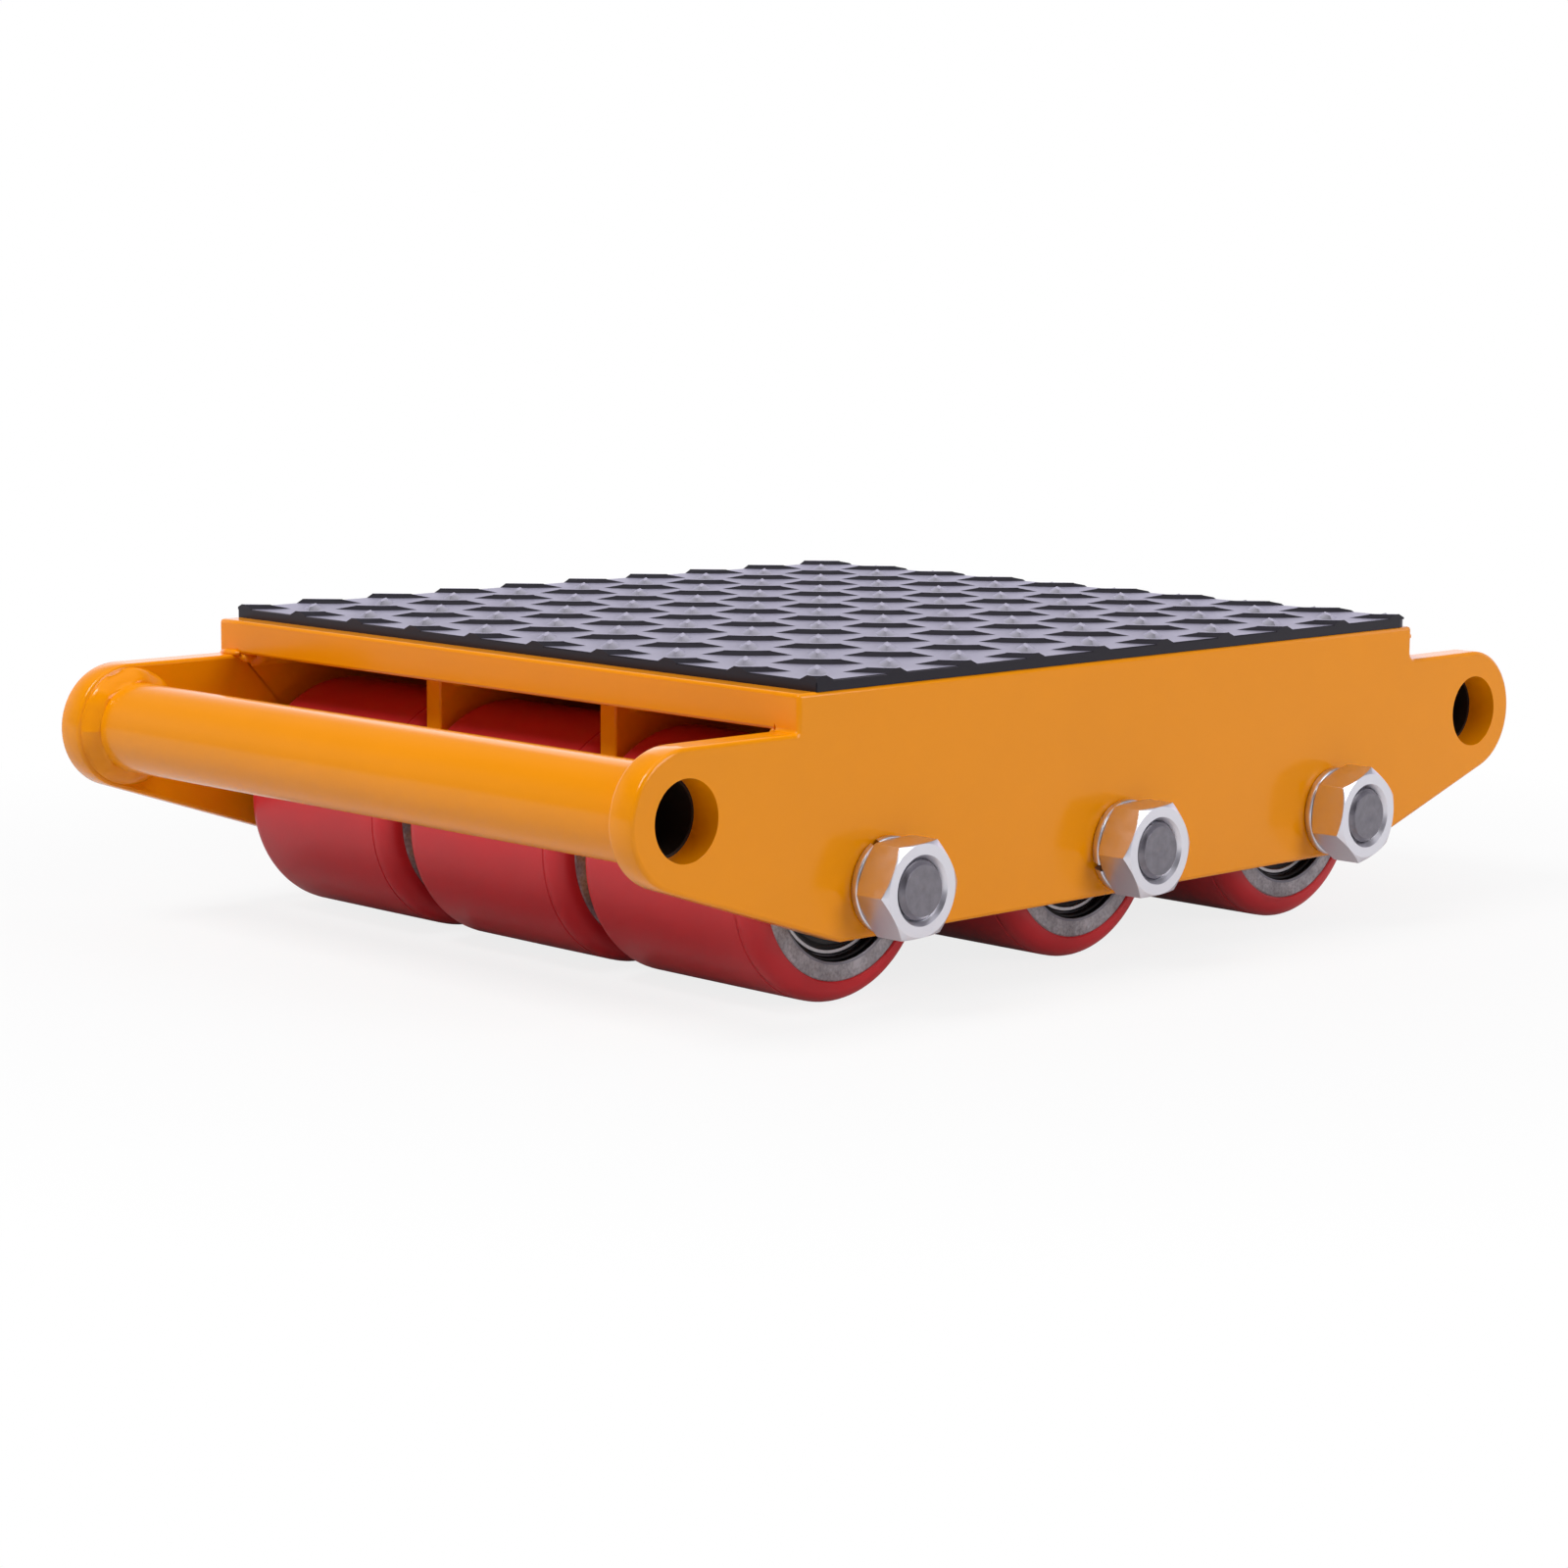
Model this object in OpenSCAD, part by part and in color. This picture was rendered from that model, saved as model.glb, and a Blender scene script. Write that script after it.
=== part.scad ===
// Machine skate: a welded plate frame that carries a load on nine rollers, three to an axle.
// X runs along the axles, Y along the travel and Z up. The floor under the rollers is Z = 0,
// and the origin is the middle of the floor area that the skate covers.

/* [Deck] */
// Distance from the front axle to the deck's front edge
deck_front = 38.8; // [34:0.1:48]
// Distance from the rear axle to the deck's rear edge
deck_rear = 45.2; // [34:0.1:48]
// Thickness of the deck plate
deck_t = 12; // [8:1:14]
// Gap between the tyres and the deck plate above them
deck_gap = 10; // [8:0.5:20]

/* [Mat] */
// Thickness of the rubber sheet without its raised bars
mat_t = 3.5; // [2:0.5:6]
// Distance from the deck's front edge to the mat
mat_front_inset = 8; // [1:0.5:15]
// Distance from the deck's rear edge to the mat
mat_rear_inset = 1.5; // [1:0.5:15]
// Distance from the deck's side edges to the mat
mat_side_inset = 0.5; // [0.5:0.5:8]
// Height of the raised bars above the sheet
bar_h = 2; // [1:0.5:3]
// Length of a raised bar over its points
bar_l = 30; // [24:1:31]
// Width of a raised bar at its foot
bar_w = 7; // [5:0.5:8]
// Distance between like bars, measured along the deck's edges
bar_pitch = 32.7; // [32:0.1:38]
// Length of the flat on top of a bar
bar_land_l = 19; // [12:1:22]
// Width of the flat on top of a bar
bar_land_w = 2.4; // [1.5:0.1:4]
// Distance from the mat's near corner to the first bar that crosses it
bar_start = 1.7; // [0:0.1:10]

/* [Side plates] */
// Thickness of a side plate
side_t = 11; // [8:0.5:12]
// Height of the side plates' flat bottom edge above the floor
side_bottom = 25; // [18:1:28]
// Distance from an end axle to the end of the side plates' flat bottom edge
side_foot = 19; // [13:0.5:28]
// Gap between an outer roller and the side plate beside it
side_gap = 7.5; // [6:0.5:20]
// Width of the round ear around the tube behind it
ear_rim = 6.3; // [4:0.1:8]
// Diameter of the hole in an ear
ear_hole = 26; // [18:1:28]
// Distance from an end axle to the centre of an ear hole
ear_reach = 85.5; // [83:0.5:100]
// Distance from the deck's top face down to the centre of an ear hole
ear_drop = 34.5; // [34:0.5:38]
// Radius of the inside corner where an ear meets the deck's end
notch_r = 2.5; // [2:0.5:6]

/* [Tubes] */
// Outer diameter of the tubes between the ears
tube_od = 32; // [31:0.5:35]
// Bore of the tubes
tube_bore = 24; // [18:1:27]

/* [Dividers] */
// Thickness of a divider plate between two rollers
divider_t = 8; // [5:0.5:9]
// Distance from an end axle to the end of a divider plate
divider_end = 24; // [14:1:32]

/* [Welds] */
// Leg of the weld around a tube's end
tube_weld_leg = 6; // [3:0.5:6.5]
// Leg of the welds under the deck
deck_weld_leg = 5; // [3:0.5:6]
// Distance from the plate's end to the end of a weld under the deck
weld_end_gap = 6; // [3:1:20]

/* [Axles] */
// Distance between neighbouring axles
axle_pitch = 115; // [100:1:120]
// Diameter of the axle bolts
bolt_d = 20; // [18:0.5:20]
// Width across the flats of the nuts and bolt heads
hex_af = 30; // [28:0.5:32]
// Height of a bolt head
head_h = 13; // [10:0.5:14]
// Height of a nut
nut_h = 13.5; // [9:0.5:16]
// Length of bolt that shows past its nut
bolt_proud = 0.5; // [0.5:0.5:6]
// Thickness of the flat washer under a bolt head
head_washer_t = 4; // [2:0.5:5]
// Outer diameter of the flat washer under a bolt head
head_washer_od = 37; // [34:1:40]
// Thickness of a split spring washer
washer_t = 3; // [2:0.5:5]
// Outer diameter of a split spring washer
washer_od = 31.5; // [30:0.5:34]
// Width of the split in a spring washer
washer_split = 2.5; // [1:0.5:4]

/* [Rollers] */
// Wall of a roller's core around its bearings
core_wall = 8; // [6:0.5:9]
// Width of a roller
roller_w = 82; // [76:0.5:83]
// Gap between a roller and the divider plate beside it
roller_gap = 0.75; // [0.5:0.25:1.5]
// Thickness of the tyre
tyre_t = 7.5; // [5:0.5:8]
// Radius of the tyre's rounded shoulders
shoulder_r = 6.5; // [3:0.5:7]

/* [Bearings] */
// Outer diameter of a ball bearing
bearing_od = 52; // [50:0.5:54]
// Width of a ball bearing
bearing_w = 15; // [13:0.5:16]
// Wall of a bearing's outer ring beside its ball track
outer_ring_t = 4; // [3:0.25:4.5]
// Wall of a bearing's inner ring beside its ball track
inner_ring_t = 4; // [3:0.25:4.5]
// Diameter of a bearing ball
ball_d = 9.5; // [8.5:0.1:9.6]
// Number of balls in a bearing
ball_count = 7; // [6:1:8]
// Depth from the roller's side face to its bearing
bearing_depth = 4.2; // [4:0.1:6]
// Thickness of a bearing's seals
seal_t = 1.2; // [0.8:0.1:1.6]
// Diameter of the round wire of a snap ring
ring_wire_d = 2.6; // [2:0.1:2.8]
// Opening between the two ends of a snap ring
ring_opening = 10; // [6:1:20]
// Wall of the spacers around an axle bolt
spacer_t = 3.4; // [2:0.1:3.6]

/* [Hidden] */

$fn = 72;
paint = "#dc8a24";
zinc = "#c8c6ce";
steel = "#9a9a9c";
rubber = "#2b2a2d";
urethane = "#a83a48";
cut_over = 1;

// Clearances between a pin and the hole around it, on the radius, and other small fits
race_fit = 0.02;
ball_gap = 0.08;
bolt_hole_fit = 0.25;
seal_gap = 0.3;
press_gap = 0.01;
touch_sink = 0.02;
seal_sunk = 0.3;

// The three rows along the travel and the three columns across it
FRONT = -1;
MIDDLE = 0;
REAR = 1;
LEFT = -1;
CENTRE = 0;
RIGHT = 1;
ROWS = [FRONT, MIDDLE, REAR];
COLUMNS = [LEFT, CENTRE, RIGHT];
SIDES = [-1, 1];

roller_od = bearing_od + 2 * (core_wall + tyre_t);
ear_r = tube_od / 2 + ear_rim;
column_pitch = roller_w + divider_t + 2 * roller_gap;
divider_x = column_pitch / 2;
divider_l = 2 * (axle_pitch + divider_end);
side_inner_x = column_pitch + roller_w / 2 + side_gap;
deck_w = 2 * (side_inner_x + side_t);
deck_front_y = -axle_pitch - deck_front;
deck_rear_y = axle_pitch + deck_rear;
deck_l = deck_rear_y - deck_front_y;
deck_mid_y = (deck_front_y + deck_rear_y) / 2;
deck_under = roller_od + deck_gap;
deck_top = deck_under + deck_t;
ear_y = axle_pitch + ear_reach;
ear_z = deck_top - ear_drop;
axle_z = roller_od / 2;
core_r = roller_od / 2 - tyre_t;
bolt_r = bolt_d / 2;
bolt_hole_r = bolt_r + bolt_hole_fit;
race_bore_r = bolt_r + race_fit;
hex_r = hex_af / 2 / cos(30);
spacer_r = bolt_hole_r + spacer_t;
bearing_out = roller_w / 2 - bearing_depth;
bearing_mid = bearing_out - bearing_w / 2;
bearing_in = bearing_out - bearing_w;
inner_ring_r = race_bore_r + inner_ring_t;
outer_ring_bore = bearing_od / 2 - outer_ring_t;
ball_path_r = (race_bore_r + bearing_od / 2) / 2;
track_r = ball_d / 2 + ball_gap;
bearing_seat_r = bearing_od / 2 + press_gap;
ring_path_r = bearing_od / 2 + ring_wire_d * 0.4;
ring_groove_r = ring_path_r + ring_wire_d / 2 + 0.1;
ring_lip_r = ring_groove_r - 0.7;
ring_groove_w = ring_wire_d + 0.1;
mat_w = deck_w - 2 * mat_side_inset;
mat_l = deck_l - mat_front_inset - mat_rear_inset;
bar_sink = 0.5;

// Turn of each nut and bolt head about its axle, and of each washer's split, front to rear
nut_turns = [3, 3, 20];
head_turns = [10, 34, 52];
split_turns = [115, 202, 60];

// Point where the line from p touches the lower side of the circle of radius r around c
function touch_point(p, c, r) =
    let (angle = atan2(p[1] - c[1], p[0] - c[0]) + acos(r / norm(p - c)))
    c + r * [cos(angle), sin(angle)];

// Stands a cylinder on the X axis, from x0 to x1
module x_cylinder(x0, x1, r) {
    translate([x0, 0, 0])
        rotate([0, 90, 0])
            cylinder(h = x1 - x0, r = r);
}

// Turns a profile drawn as [radius, x] about the X axis
module x_turned() {
    rotate([0, 90, 0])
        rotate_extrude()
            children();
}

// Puts its children on the axle of a row
module on_axle(row) {
    translate([0, row * axle_pitch, axle_z])
        children();
}

// Half a side plate seen along X, from the middle axle to an ear, with its deck end at deck_y
module side_half(deck_y) {
    ear = [ear_y, ear_z];
    ear_top = ear_z + ear_r;
    foot = [axle_pitch + side_foot, side_bottom];
    polygon([[0, side_bottom], foot, touch_point(foot, ear, ear_r - touch_sink), ear,
        [ear_y, ear_top], [deck_y, ear_top], [deck_y, deck_top], [0, deck_top]]);
    translate(ear)
        circle(r = ear_r);
    difference() {
        translate([deck_y - cut_over, ear_top - cut_over])
            square(notch_r + cut_over);
        translate([deck_y + notch_r, ear_top + notch_r])
            circle(r = notch_r);
    }
}

// Whole side plate seen along X, with y to the right and z up
module side_outline() {
    side_half(deck_rear_y);
    mirror([1, 0])
        side_half(-deck_front_y);
}

// Holes for the three axle bolts through a plate that lies between x0 and x1
module axle_holes(x0, x1) {
    for (row = ROWS)
        on_axle(row)
            x_cylinder(x0 - cut_over, x1 + cut_over, bolt_hole_r);
}

// Side plate with its two ears, from the outline above
module side_plate(side) {
    x0 = side > 0 ? side_inner_x : -deck_w / 2;
    color(paint)
        difference() {
            translate([x0, 0, 0])
                rotate([90, 0, 90])
                    linear_extrude(height = side_t)
                        side_outline();
            axle_holes(x0, x0 + side_t);
            for (s = SIDES)
                translate([0, s * ear_y, ear_z])
                    x_cylinder(x0 - cut_over, x0 + side_t + cut_over, ear_hole / 2);
        }
}

// Flat plate that carries the load, let in between the side plates
module deck_plate() {
    color(paint)
        translate([-side_inner_x, deck_front_y, deck_under])
            cube([2 * side_inner_x, deck_l, deck_t]);
}

// One raised bar of the mat along X, sunk a little into the sheet
module tread_bar() {
    foot_half = bar_l / 2;
    foot_shoulder = bar_l * 0.3;
    land_half = bar_land_l / 2;
    land_shoulder = bar_land_l * 0.36;
    foot = [[-foot_half, 0], [-foot_shoulder, -bar_w / 2], [foot_shoulder, -bar_w / 2],
        [foot_half, 0], [foot_shoulder, bar_w / 2], [-foot_shoulder, bar_w / 2]];
    land = [[-land_half, 0], [-land_shoulder, -bar_land_w / 2], [land_shoulder, -bar_land_w / 2],
        [land_half, 0], [land_shoulder, bar_land_w / 2], [-land_shoulder, bar_land_w / 2]];
    polyhedron(
        points = concat(
            [for (p = foot) [p[0], p[1], -bar_sink]],
            [for (p = foot) [p[0], p[1], 0]],
            [for (p = land) [p[0], p[1], bar_h]]),
        faces = concat(
            [[0, 1, 2, 3, 4, 5]],
            [for (k = [0, 6], i = [0:5]) [k + i, k + 6 + i, k + 6 + (i + 1) % 6, k + (i + 1) % 6]],
            [[17, 16, 15, 14, 13, 12]]));
}

// Rubber sheet with bars that turn by a quarter from one to the next, all at 45 degrees
module rubber_mat() {
    across = ceil(mat_w / bar_pitch);
    along = ceil(mat_l / bar_pitch);
    color(rubber)
        translate([-mat_w / 2, deck_front_y + mat_front_inset, deck_top])
            union() {
                cube([mat_w, mat_l, mat_t]);
                intersection() {
                    translate([0, 0, mat_t - bar_sink])
                        cube([mat_w, mat_l, bar_sink + bar_h]);
                    translate([mat_w - bar_start, bar_start, mat_t])
                        for (i = [-1:across], j = [-1:along], half = [0, 0.5])
                            if (bar_on_mat((i + half) * bar_pitch, (j + half) * bar_pitch))
                                translate([-(i + half) * bar_pitch, (j + half) * bar_pitch, 0])
                                    rotate([0, 0, half > 0 ? 135 : 45])
                                        tread_bar();
                }
            }
}

// Whether a bar at this place, measured from the first one, reaches over the mat
function bar_on_mat(x, y) =
    let (reach = bar_l / 2 * cos(45))
    x > -reach && x < mat_w - bar_start + reach && y > -reach && y < mat_l - bar_start + reach;

// Plate between two columns of rollers, which carries the axle bolts at their middle
module divider(side) {
    x0 = side * divider_x - divider_t / 2;
    color(paint)
        difference() {
            translate([x0, -divider_l / 2, side_bottom])
                cube([divider_t, divider_l, deck_under - side_bottom]);
            axle_holes(x0, x0 + divider_t);
        }
}

// Tube between two ears, open from side to side
module cross_tube(end) {
    color(paint)
        translate([0, end * ear_y, ear_z])
            difference() {
                x_cylinder(-side_inner_x, side_inner_x, tube_od / 2);
                x_cylinder(-side_inner_x - cut_over, side_inner_x + cut_over, tube_bore / 2);
            }
}

// Ring of weld around both ends of each tube
module tube_welds() {
    color(paint)
        for (end = SIDES, side = SIDES)
            translate([0, end * ear_y, ear_z])
                mirror([side > 0 ? 0 : 1, 0, 0])
                    x_turned()
                        polygon([[tube_od / 2, side_inner_x - tube_weld_leg],
                            [tube_od / 2, side_inner_x], [tube_od / 2 + tube_weld_leg, side_inner_x]]);
}

// Straight weld along Y in the corner between a plate's face at x and the deck
module corner_weld(x, side, length, mid_y = 0) {
    translate([x, mid_y + length / 2, deck_under])
        rotate([90, 0, 0])
            linear_extrude(height = length)
                polygon([[0, 0], [side * deck_weld_leg, 0], [0, -deck_weld_leg]]);
}

// Welds under the deck, along both side plates and both sides of each divider
module frame_welds() {
    color(paint)
        for (s = SIDES) {
            corner_weld(s * side_inner_x, -s, deck_l - 2 * weld_end_gap, deck_mid_y);
            corner_weld(s * (divider_x + divider_t / 2), s, divider_l - 2 * weld_end_gap);
            corner_weld(s * (divider_x - divider_t / 2), -s, divider_l - 2 * weld_end_gap);
        }
}

// Six-sided head or nut between x0 and x1, turned by an angle, with its outer corners taken off
module hex_block(x0, x1, turn) {
    chamfer = (hex_r - hex_af / 2) * 0.6;
    intersection() {
        translate([x0, 0, 0])
            rotate([turn, 0, 0])
                rotate([0, 90, 0])
                    rotate([0, 0, 90])
                        cylinder(h = x1 - x0, r = hex_r, $fn = 6);
        x_turned()
            polygon([[0, x0], [hex_r - cut_over * 0.5, x0], [hex_r + cut_over, x0 + chamfer],
                [hex_r + cut_over, x1 - chamfer], [hex_r - cut_over * 0.5, x1], [0, x1]]);
    }
}

// Hexagon bolt from its flat washer on the left plate to past the nut on the right
module axle_bolt(row) {
    head_x = -deck_w / 2 - head_washer_t;
    end_x = deck_w / 2 + washer_t + nut_h + bolt_proud;
    tip = bolt_d * 0.07;
    color(zinc)
        on_axle(row)
            union() {
                hex_block(head_x - head_h, head_x, head_turns[row + 1]);
                x_turned()
                    polygon([[0, head_x - cut_over], [bolt_r, head_x - cut_over],
                        [bolt_r, end_x - tip], [bolt_r - tip, end_x], [0, end_x]]);
            }
}

// Flat washer of each axle, between the bolt head and the left side plate
module head_washers() {
    color(zinc)
        for (row = ROWS)
            on_axle(row)
                spacer(-deck_w / 2 - head_washer_t, -deck_w / 2, head_washer_od / 2);
}

// Nut of each axle, outside the right side plate and its spring washer
module axle_nuts() {
    x0 = deck_w / 2 + washer_t;
    color(zinc)
        for (row = ROWS)
            on_axle(row)
                difference() {
                    hex_block(x0, x0 + nut_h, nut_turns[row + 1]);
                    x_cylinder(x0 - cut_over, x0 + nut_h + cut_over, race_bore_r);
                }
}

// Split spring washer of each axle, between the right side plate and the nut
module spring_washers() {
    x0 = deck_w / 2;
    color(zinc)
        for (row = ROWS)
            on_axle(row)
                difference() {
                    x_cylinder(x0, x0 + washer_t, washer_od / 2);
                    x_cylinder(x0 - cut_over, x0 + washer_t + cut_over, bolt_hole_r);
                    rotate([split_turns[row + 1], 0, 0])
                        translate([x0 + washer_t / 2, washer_od / 2, 0])
                            rotate([0, 0, 20])
                                cube([2 * washer_t, washer_od, washer_split], center = true);
                }
}

// Ring around an axle bolt between two faces that it keeps apart
module spacer(x0, x1, r) {
    difference() {
        x_cylinder(x0, x1, r);
        x_cylinder(x0 - cut_over, x1 + cut_over, bolt_hole_r);
    }
}

// Long spacer in each hub, between its two bearings' inner rings
module hub_spacers() {
    color(steel)
        for (row = ROWS, column = COLUMNS)
            on_axle(row)
                translate([column * column_pitch, 0, 0])
                    spacer(-bearing_in, bearing_in, spacer_r);
}

// Short spacers from the bearings' inner rings to the dividers and the side plates
module side_spacers() {
    inner_end = column_pitch + bearing_out;
    color(steel)
        for (row = ROWS, side = SIDES)
            on_axle(row)
                mirror([side > 0 ? 0 : 1, 0, 0]) {
                    spacer(bearing_out, divider_x - divider_t / 2, spacer_r);
                    spacer(divider_x + divider_t / 2, column_pitch - bearing_out, spacer_r);
                    spacer(inner_end, side_inner_x, spacer_r);
                }
}

// Puts its children at both bearings of every roller
module at_each_bearing() {
    for (row = ROWS, column = COLUMNS, side = SIDES)
        on_axle(row)
            translate([column * column_pitch + side * bearing_mid, 0, 0])
                children();
}

// Inner ring of every bearing, which stands still with its axle
module inner_rings() {
    color(zinc)
        at_each_bearing()
            x_turned()
                difference() {
                    translate([race_bore_r, -bearing_w / 2])
                        square([inner_ring_t, bearing_w]);
                    translate([ball_path_r, 0])
                        circle(r = track_r);
                }
}

// Balls of every bearing, spread evenly around their path
module bearing_balls() {
    color(zinc)
        at_each_bearing()
            for (i = [0:ball_count - 1])
                rotate([i * 360 / ball_count, 0, 0])
                    translate([0, 0, ball_path_r])
                        sphere(d = ball_d, $fn = 24);
}

// Puts its children at the middle of one roller
module at_roller(row, column) {
    on_axle(row)
        translate([column * column_pitch, 0, 0])
            children();
}

// Cast tyre around the core, with rounded shoulders
module tyre(row, column) {
    tread_half = roller_w / 2 - shoulder_r;
    shoulder_path = roller_od / 2 - shoulder_r;
    color(urethane)
        at_roller(row, column)
            x_turned() {
                translate([core_r, -roller_w / 2])
                    square([shoulder_path - core_r, roller_w]);
                translate([core_r, -tread_half])
                    square([tyre_t, 2 * tread_half]);
                for (s = SIDES)
                    translate([shoulder_path, s * tread_half])
                        intersection() {
                            circle(r = shoulder_r);
                            translate([-cut_over, s > 0 ? 0 : -shoulder_r])
                                square([shoulder_r + cut_over, shoulder_r]);
                        }
            }
}

// Steel core of a roller, bored for a bearing and grooved for a snap ring at both ends
module core(row, column) {
    lip_x = roller_w / 2;
    groove_x0 = bearing_out;
    web_r = outer_ring_bore;
    color(steel)
        at_roller(row, column)
            difference() {
                x_cylinder(-lip_x, lip_x, core_r - press_gap);
                x_cylinder(-lip_x - cut_over, lip_x + cut_over, web_r);
                for (s = SIDES)
                    mirror([s > 0 ? 0 : 1, 0, 0]) {
                        x_cylinder(bearing_in, lip_x + cut_over, bearing_seat_r);
                        x_cylinder(groove_x0, groove_x0 + ring_groove_w, ring_groove_r);
                        x_cylinder(groove_x0 + ring_groove_w, lip_x + cut_over, ring_lip_r);
                    }
            }
}

// Outer ring of a bearing with a rubber seal on both sides of its balls
module outer_ring_and_seals() {
    color(zinc)
        x_turned()
            difference() {
                translate([outer_ring_bore, -bearing_w / 2])
                    square([outer_ring_t, bearing_w]);
                translate([ball_path_r, 0])
                    circle(r = track_r);
            }
    color(rubber)
        for (s = SIDES)
            mirror([s > 0 ? 0 : 1, 0, 0])
                x_turned()
                    translate([inner_ring_r + seal_gap, bearing_w / 2 - seal_sunk - seal_t])
                        square([outer_ring_bore - press_gap - inner_ring_r - seal_gap, seal_t]);
}

// The two bearings' outer rings of one roller, which turn with it
module bearings(row, column) {
    at_roller(row, column)
        for (s = SIDES)
            translate([s * bearing_mid, 0, 0])
                outer_ring_and_seals();
}

// Round-wire snap rings that keep both bearings in one roller
module snap_rings(row, column) {
    color(rubber)
        at_roller(row, column)
            for (s = SIDES)
                translate([s * (bearing_out + ring_wire_d / 2), 0, 0])
                    difference() {
                        x_turned()
                            translate([ring_path_r, 0])
                                circle(d = ring_wire_d);
                        translate([0, 0, ring_path_r])
                            cube([2 * ring_wire_d, ring_opening, 2 * ring_wire_d], center = true);
                    }
}

deck_plate();
rubber_mat();
side_plate(LEFT);  // side_plate_left
side_plate(RIGHT);  // side_plate_right
divider(LEFT);  // divider_left
divider(RIGHT);  // divider_right
cross_tube(FRONT);  // front_tube
cross_tube(REAR);  // rear_tube
tube_welds();
frame_welds();
axle_bolt(FRONT);  // axle_bolt_front
axle_bolt(MIDDLE);  // axle_bolt_middle
axle_bolt(REAR);  // axle_bolt_rear
axle_nuts();
spring_washers();
head_washers();
hub_spacers();
side_spacers();
inner_rings();
bearing_balls();
tyre(FRONT, LEFT);  // tyre_front_left
tyre(FRONT, CENTRE);  // tyre_front_centre
tyre(FRONT, RIGHT);  // tyre_front_right
tyre(MIDDLE, LEFT);  // tyre_middle_left
tyre(MIDDLE, CENTRE);  // tyre_middle_centre
tyre(MIDDLE, RIGHT);  // tyre_middle_right
tyre(REAR, LEFT);  // tyre_rear_left
tyre(REAR, CENTRE);  // tyre_rear_centre
tyre(REAR, RIGHT);  // tyre_rear_right
core(FRONT, LEFT);  // core_front_left
core(FRONT, CENTRE);  // core_front_centre
core(FRONT, RIGHT);  // core_front_right
core(MIDDLE, LEFT);  // core_middle_left
core(MIDDLE, CENTRE);  // core_middle_centre
core(MIDDLE, RIGHT);  // core_middle_right
core(REAR, LEFT);  // core_rear_left
core(REAR, CENTRE);  // core_rear_centre
core(REAR, RIGHT);  // core_rear_right
bearings(FRONT, LEFT);  // bearings_front_left
bearings(FRONT, CENTRE);  // bearings_front_centre
bearings(FRONT, RIGHT);  // bearings_front_right
bearings(MIDDLE, LEFT);  // bearings_middle_left
bearings(MIDDLE, CENTRE);  // bearings_middle_centre
bearings(MIDDLE, RIGHT);  // bearings_middle_right
bearings(REAR, LEFT);  // bearings_rear_left
bearings(REAR, CENTRE);  // bearings_rear_centre
bearings(REAR, RIGHT);  // bearings_rear_right
snap_rings(FRONT, LEFT);  // snap_rings_front_left
snap_rings(FRONT, CENTRE);  // snap_rings_front_centre
snap_rings(FRONT, RIGHT);  // snap_rings_front_right
snap_rings(MIDDLE, LEFT);  // snap_rings_middle_left
snap_rings(MIDDLE, CENTRE);  // snap_rings_middle_centre
snap_rings(MIDDLE, RIGHT);  // snap_rings_middle_right
snap_rings(REAR, LEFT);  // snap_rings_rear_left
snap_rings(REAR, CENTRE);  // snap_rings_rear_centre
snap_rings(REAR, RIGHT);  // snap_rings_rear_right
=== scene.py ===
"""Dresses the solid model of a machine skate in painted steel, rubber, urethane and zinc."""

import math
from itertools import product

import bmesh
import bpy
from mathutils import Matrix, Vector, noise


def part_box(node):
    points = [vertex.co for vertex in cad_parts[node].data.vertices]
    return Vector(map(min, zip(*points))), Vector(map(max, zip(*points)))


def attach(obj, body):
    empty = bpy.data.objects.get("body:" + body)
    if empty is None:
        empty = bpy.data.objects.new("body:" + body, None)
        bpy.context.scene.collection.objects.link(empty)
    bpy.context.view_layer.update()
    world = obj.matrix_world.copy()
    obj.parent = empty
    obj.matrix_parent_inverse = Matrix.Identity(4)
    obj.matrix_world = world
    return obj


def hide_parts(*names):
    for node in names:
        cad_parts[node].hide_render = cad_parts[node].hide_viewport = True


bl_info = {
    "name": "Machine skate",
    "version": (1, 0, 0),
    "blender": (4, 5, 0),
    "location": "View3D > Sidebar > Skate",
    "description": "Builds a machine skate over its solid model, one group of pieces at a time",
    "category": "Add Mesh",
}

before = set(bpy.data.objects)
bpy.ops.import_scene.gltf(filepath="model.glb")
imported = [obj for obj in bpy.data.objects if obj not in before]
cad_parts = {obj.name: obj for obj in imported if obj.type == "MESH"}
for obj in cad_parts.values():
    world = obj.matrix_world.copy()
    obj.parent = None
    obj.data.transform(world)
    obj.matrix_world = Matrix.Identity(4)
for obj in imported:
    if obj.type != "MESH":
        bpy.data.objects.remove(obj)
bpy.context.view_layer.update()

# Everything is modelled in millimetres and goes to metres when a piece is finished.
MM = 0.001
MERGE = 0.0004
TURN = math.tau


def box_mm(node):
    """Lowest and highest corner of a solid, in millimetres."""
    low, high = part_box(node)
    return low / MM, high / MM


PLATE_LOW, PLATE_HIGH = box_mm("side_plate_right")
DECK_LOW, DECK_HIGH = box_mm("deck_plate")
MAT_LOW, MAT_HIGH = box_mm("rubber_mat")
TUBE_LOW, TUBE_HIGH = box_mm("front_tube")
DIVIDER_LOW, DIVIDER_HIGH = box_mm("divider_right")

PLATE_IN = PLATE_LOW.x
PLATE_OUT = PLATE_HIGH.x
EAR_Y = -(TUBE_LOW.y + TUBE_HIGH.y) / 2
EAR_Z = (TUBE_LOW.z + TUBE_HIGH.z) / 2
EAR_R = PLATE_HIGH.y - EAR_Y
EAR_HOLE_R = 13.0
TUBE_BORE_R = 12.0
TUBE_R = (TUBE_HIGH.z - TUBE_LOW.z) / 2
FOOT_Y = 134.0
NOTCH_FRONT_R = 1.2
NOTCH_REAR_R = 3.0
DIVIDER_EDGE = 0.7
FRAME_BEAD_LEG = 5.0

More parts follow.
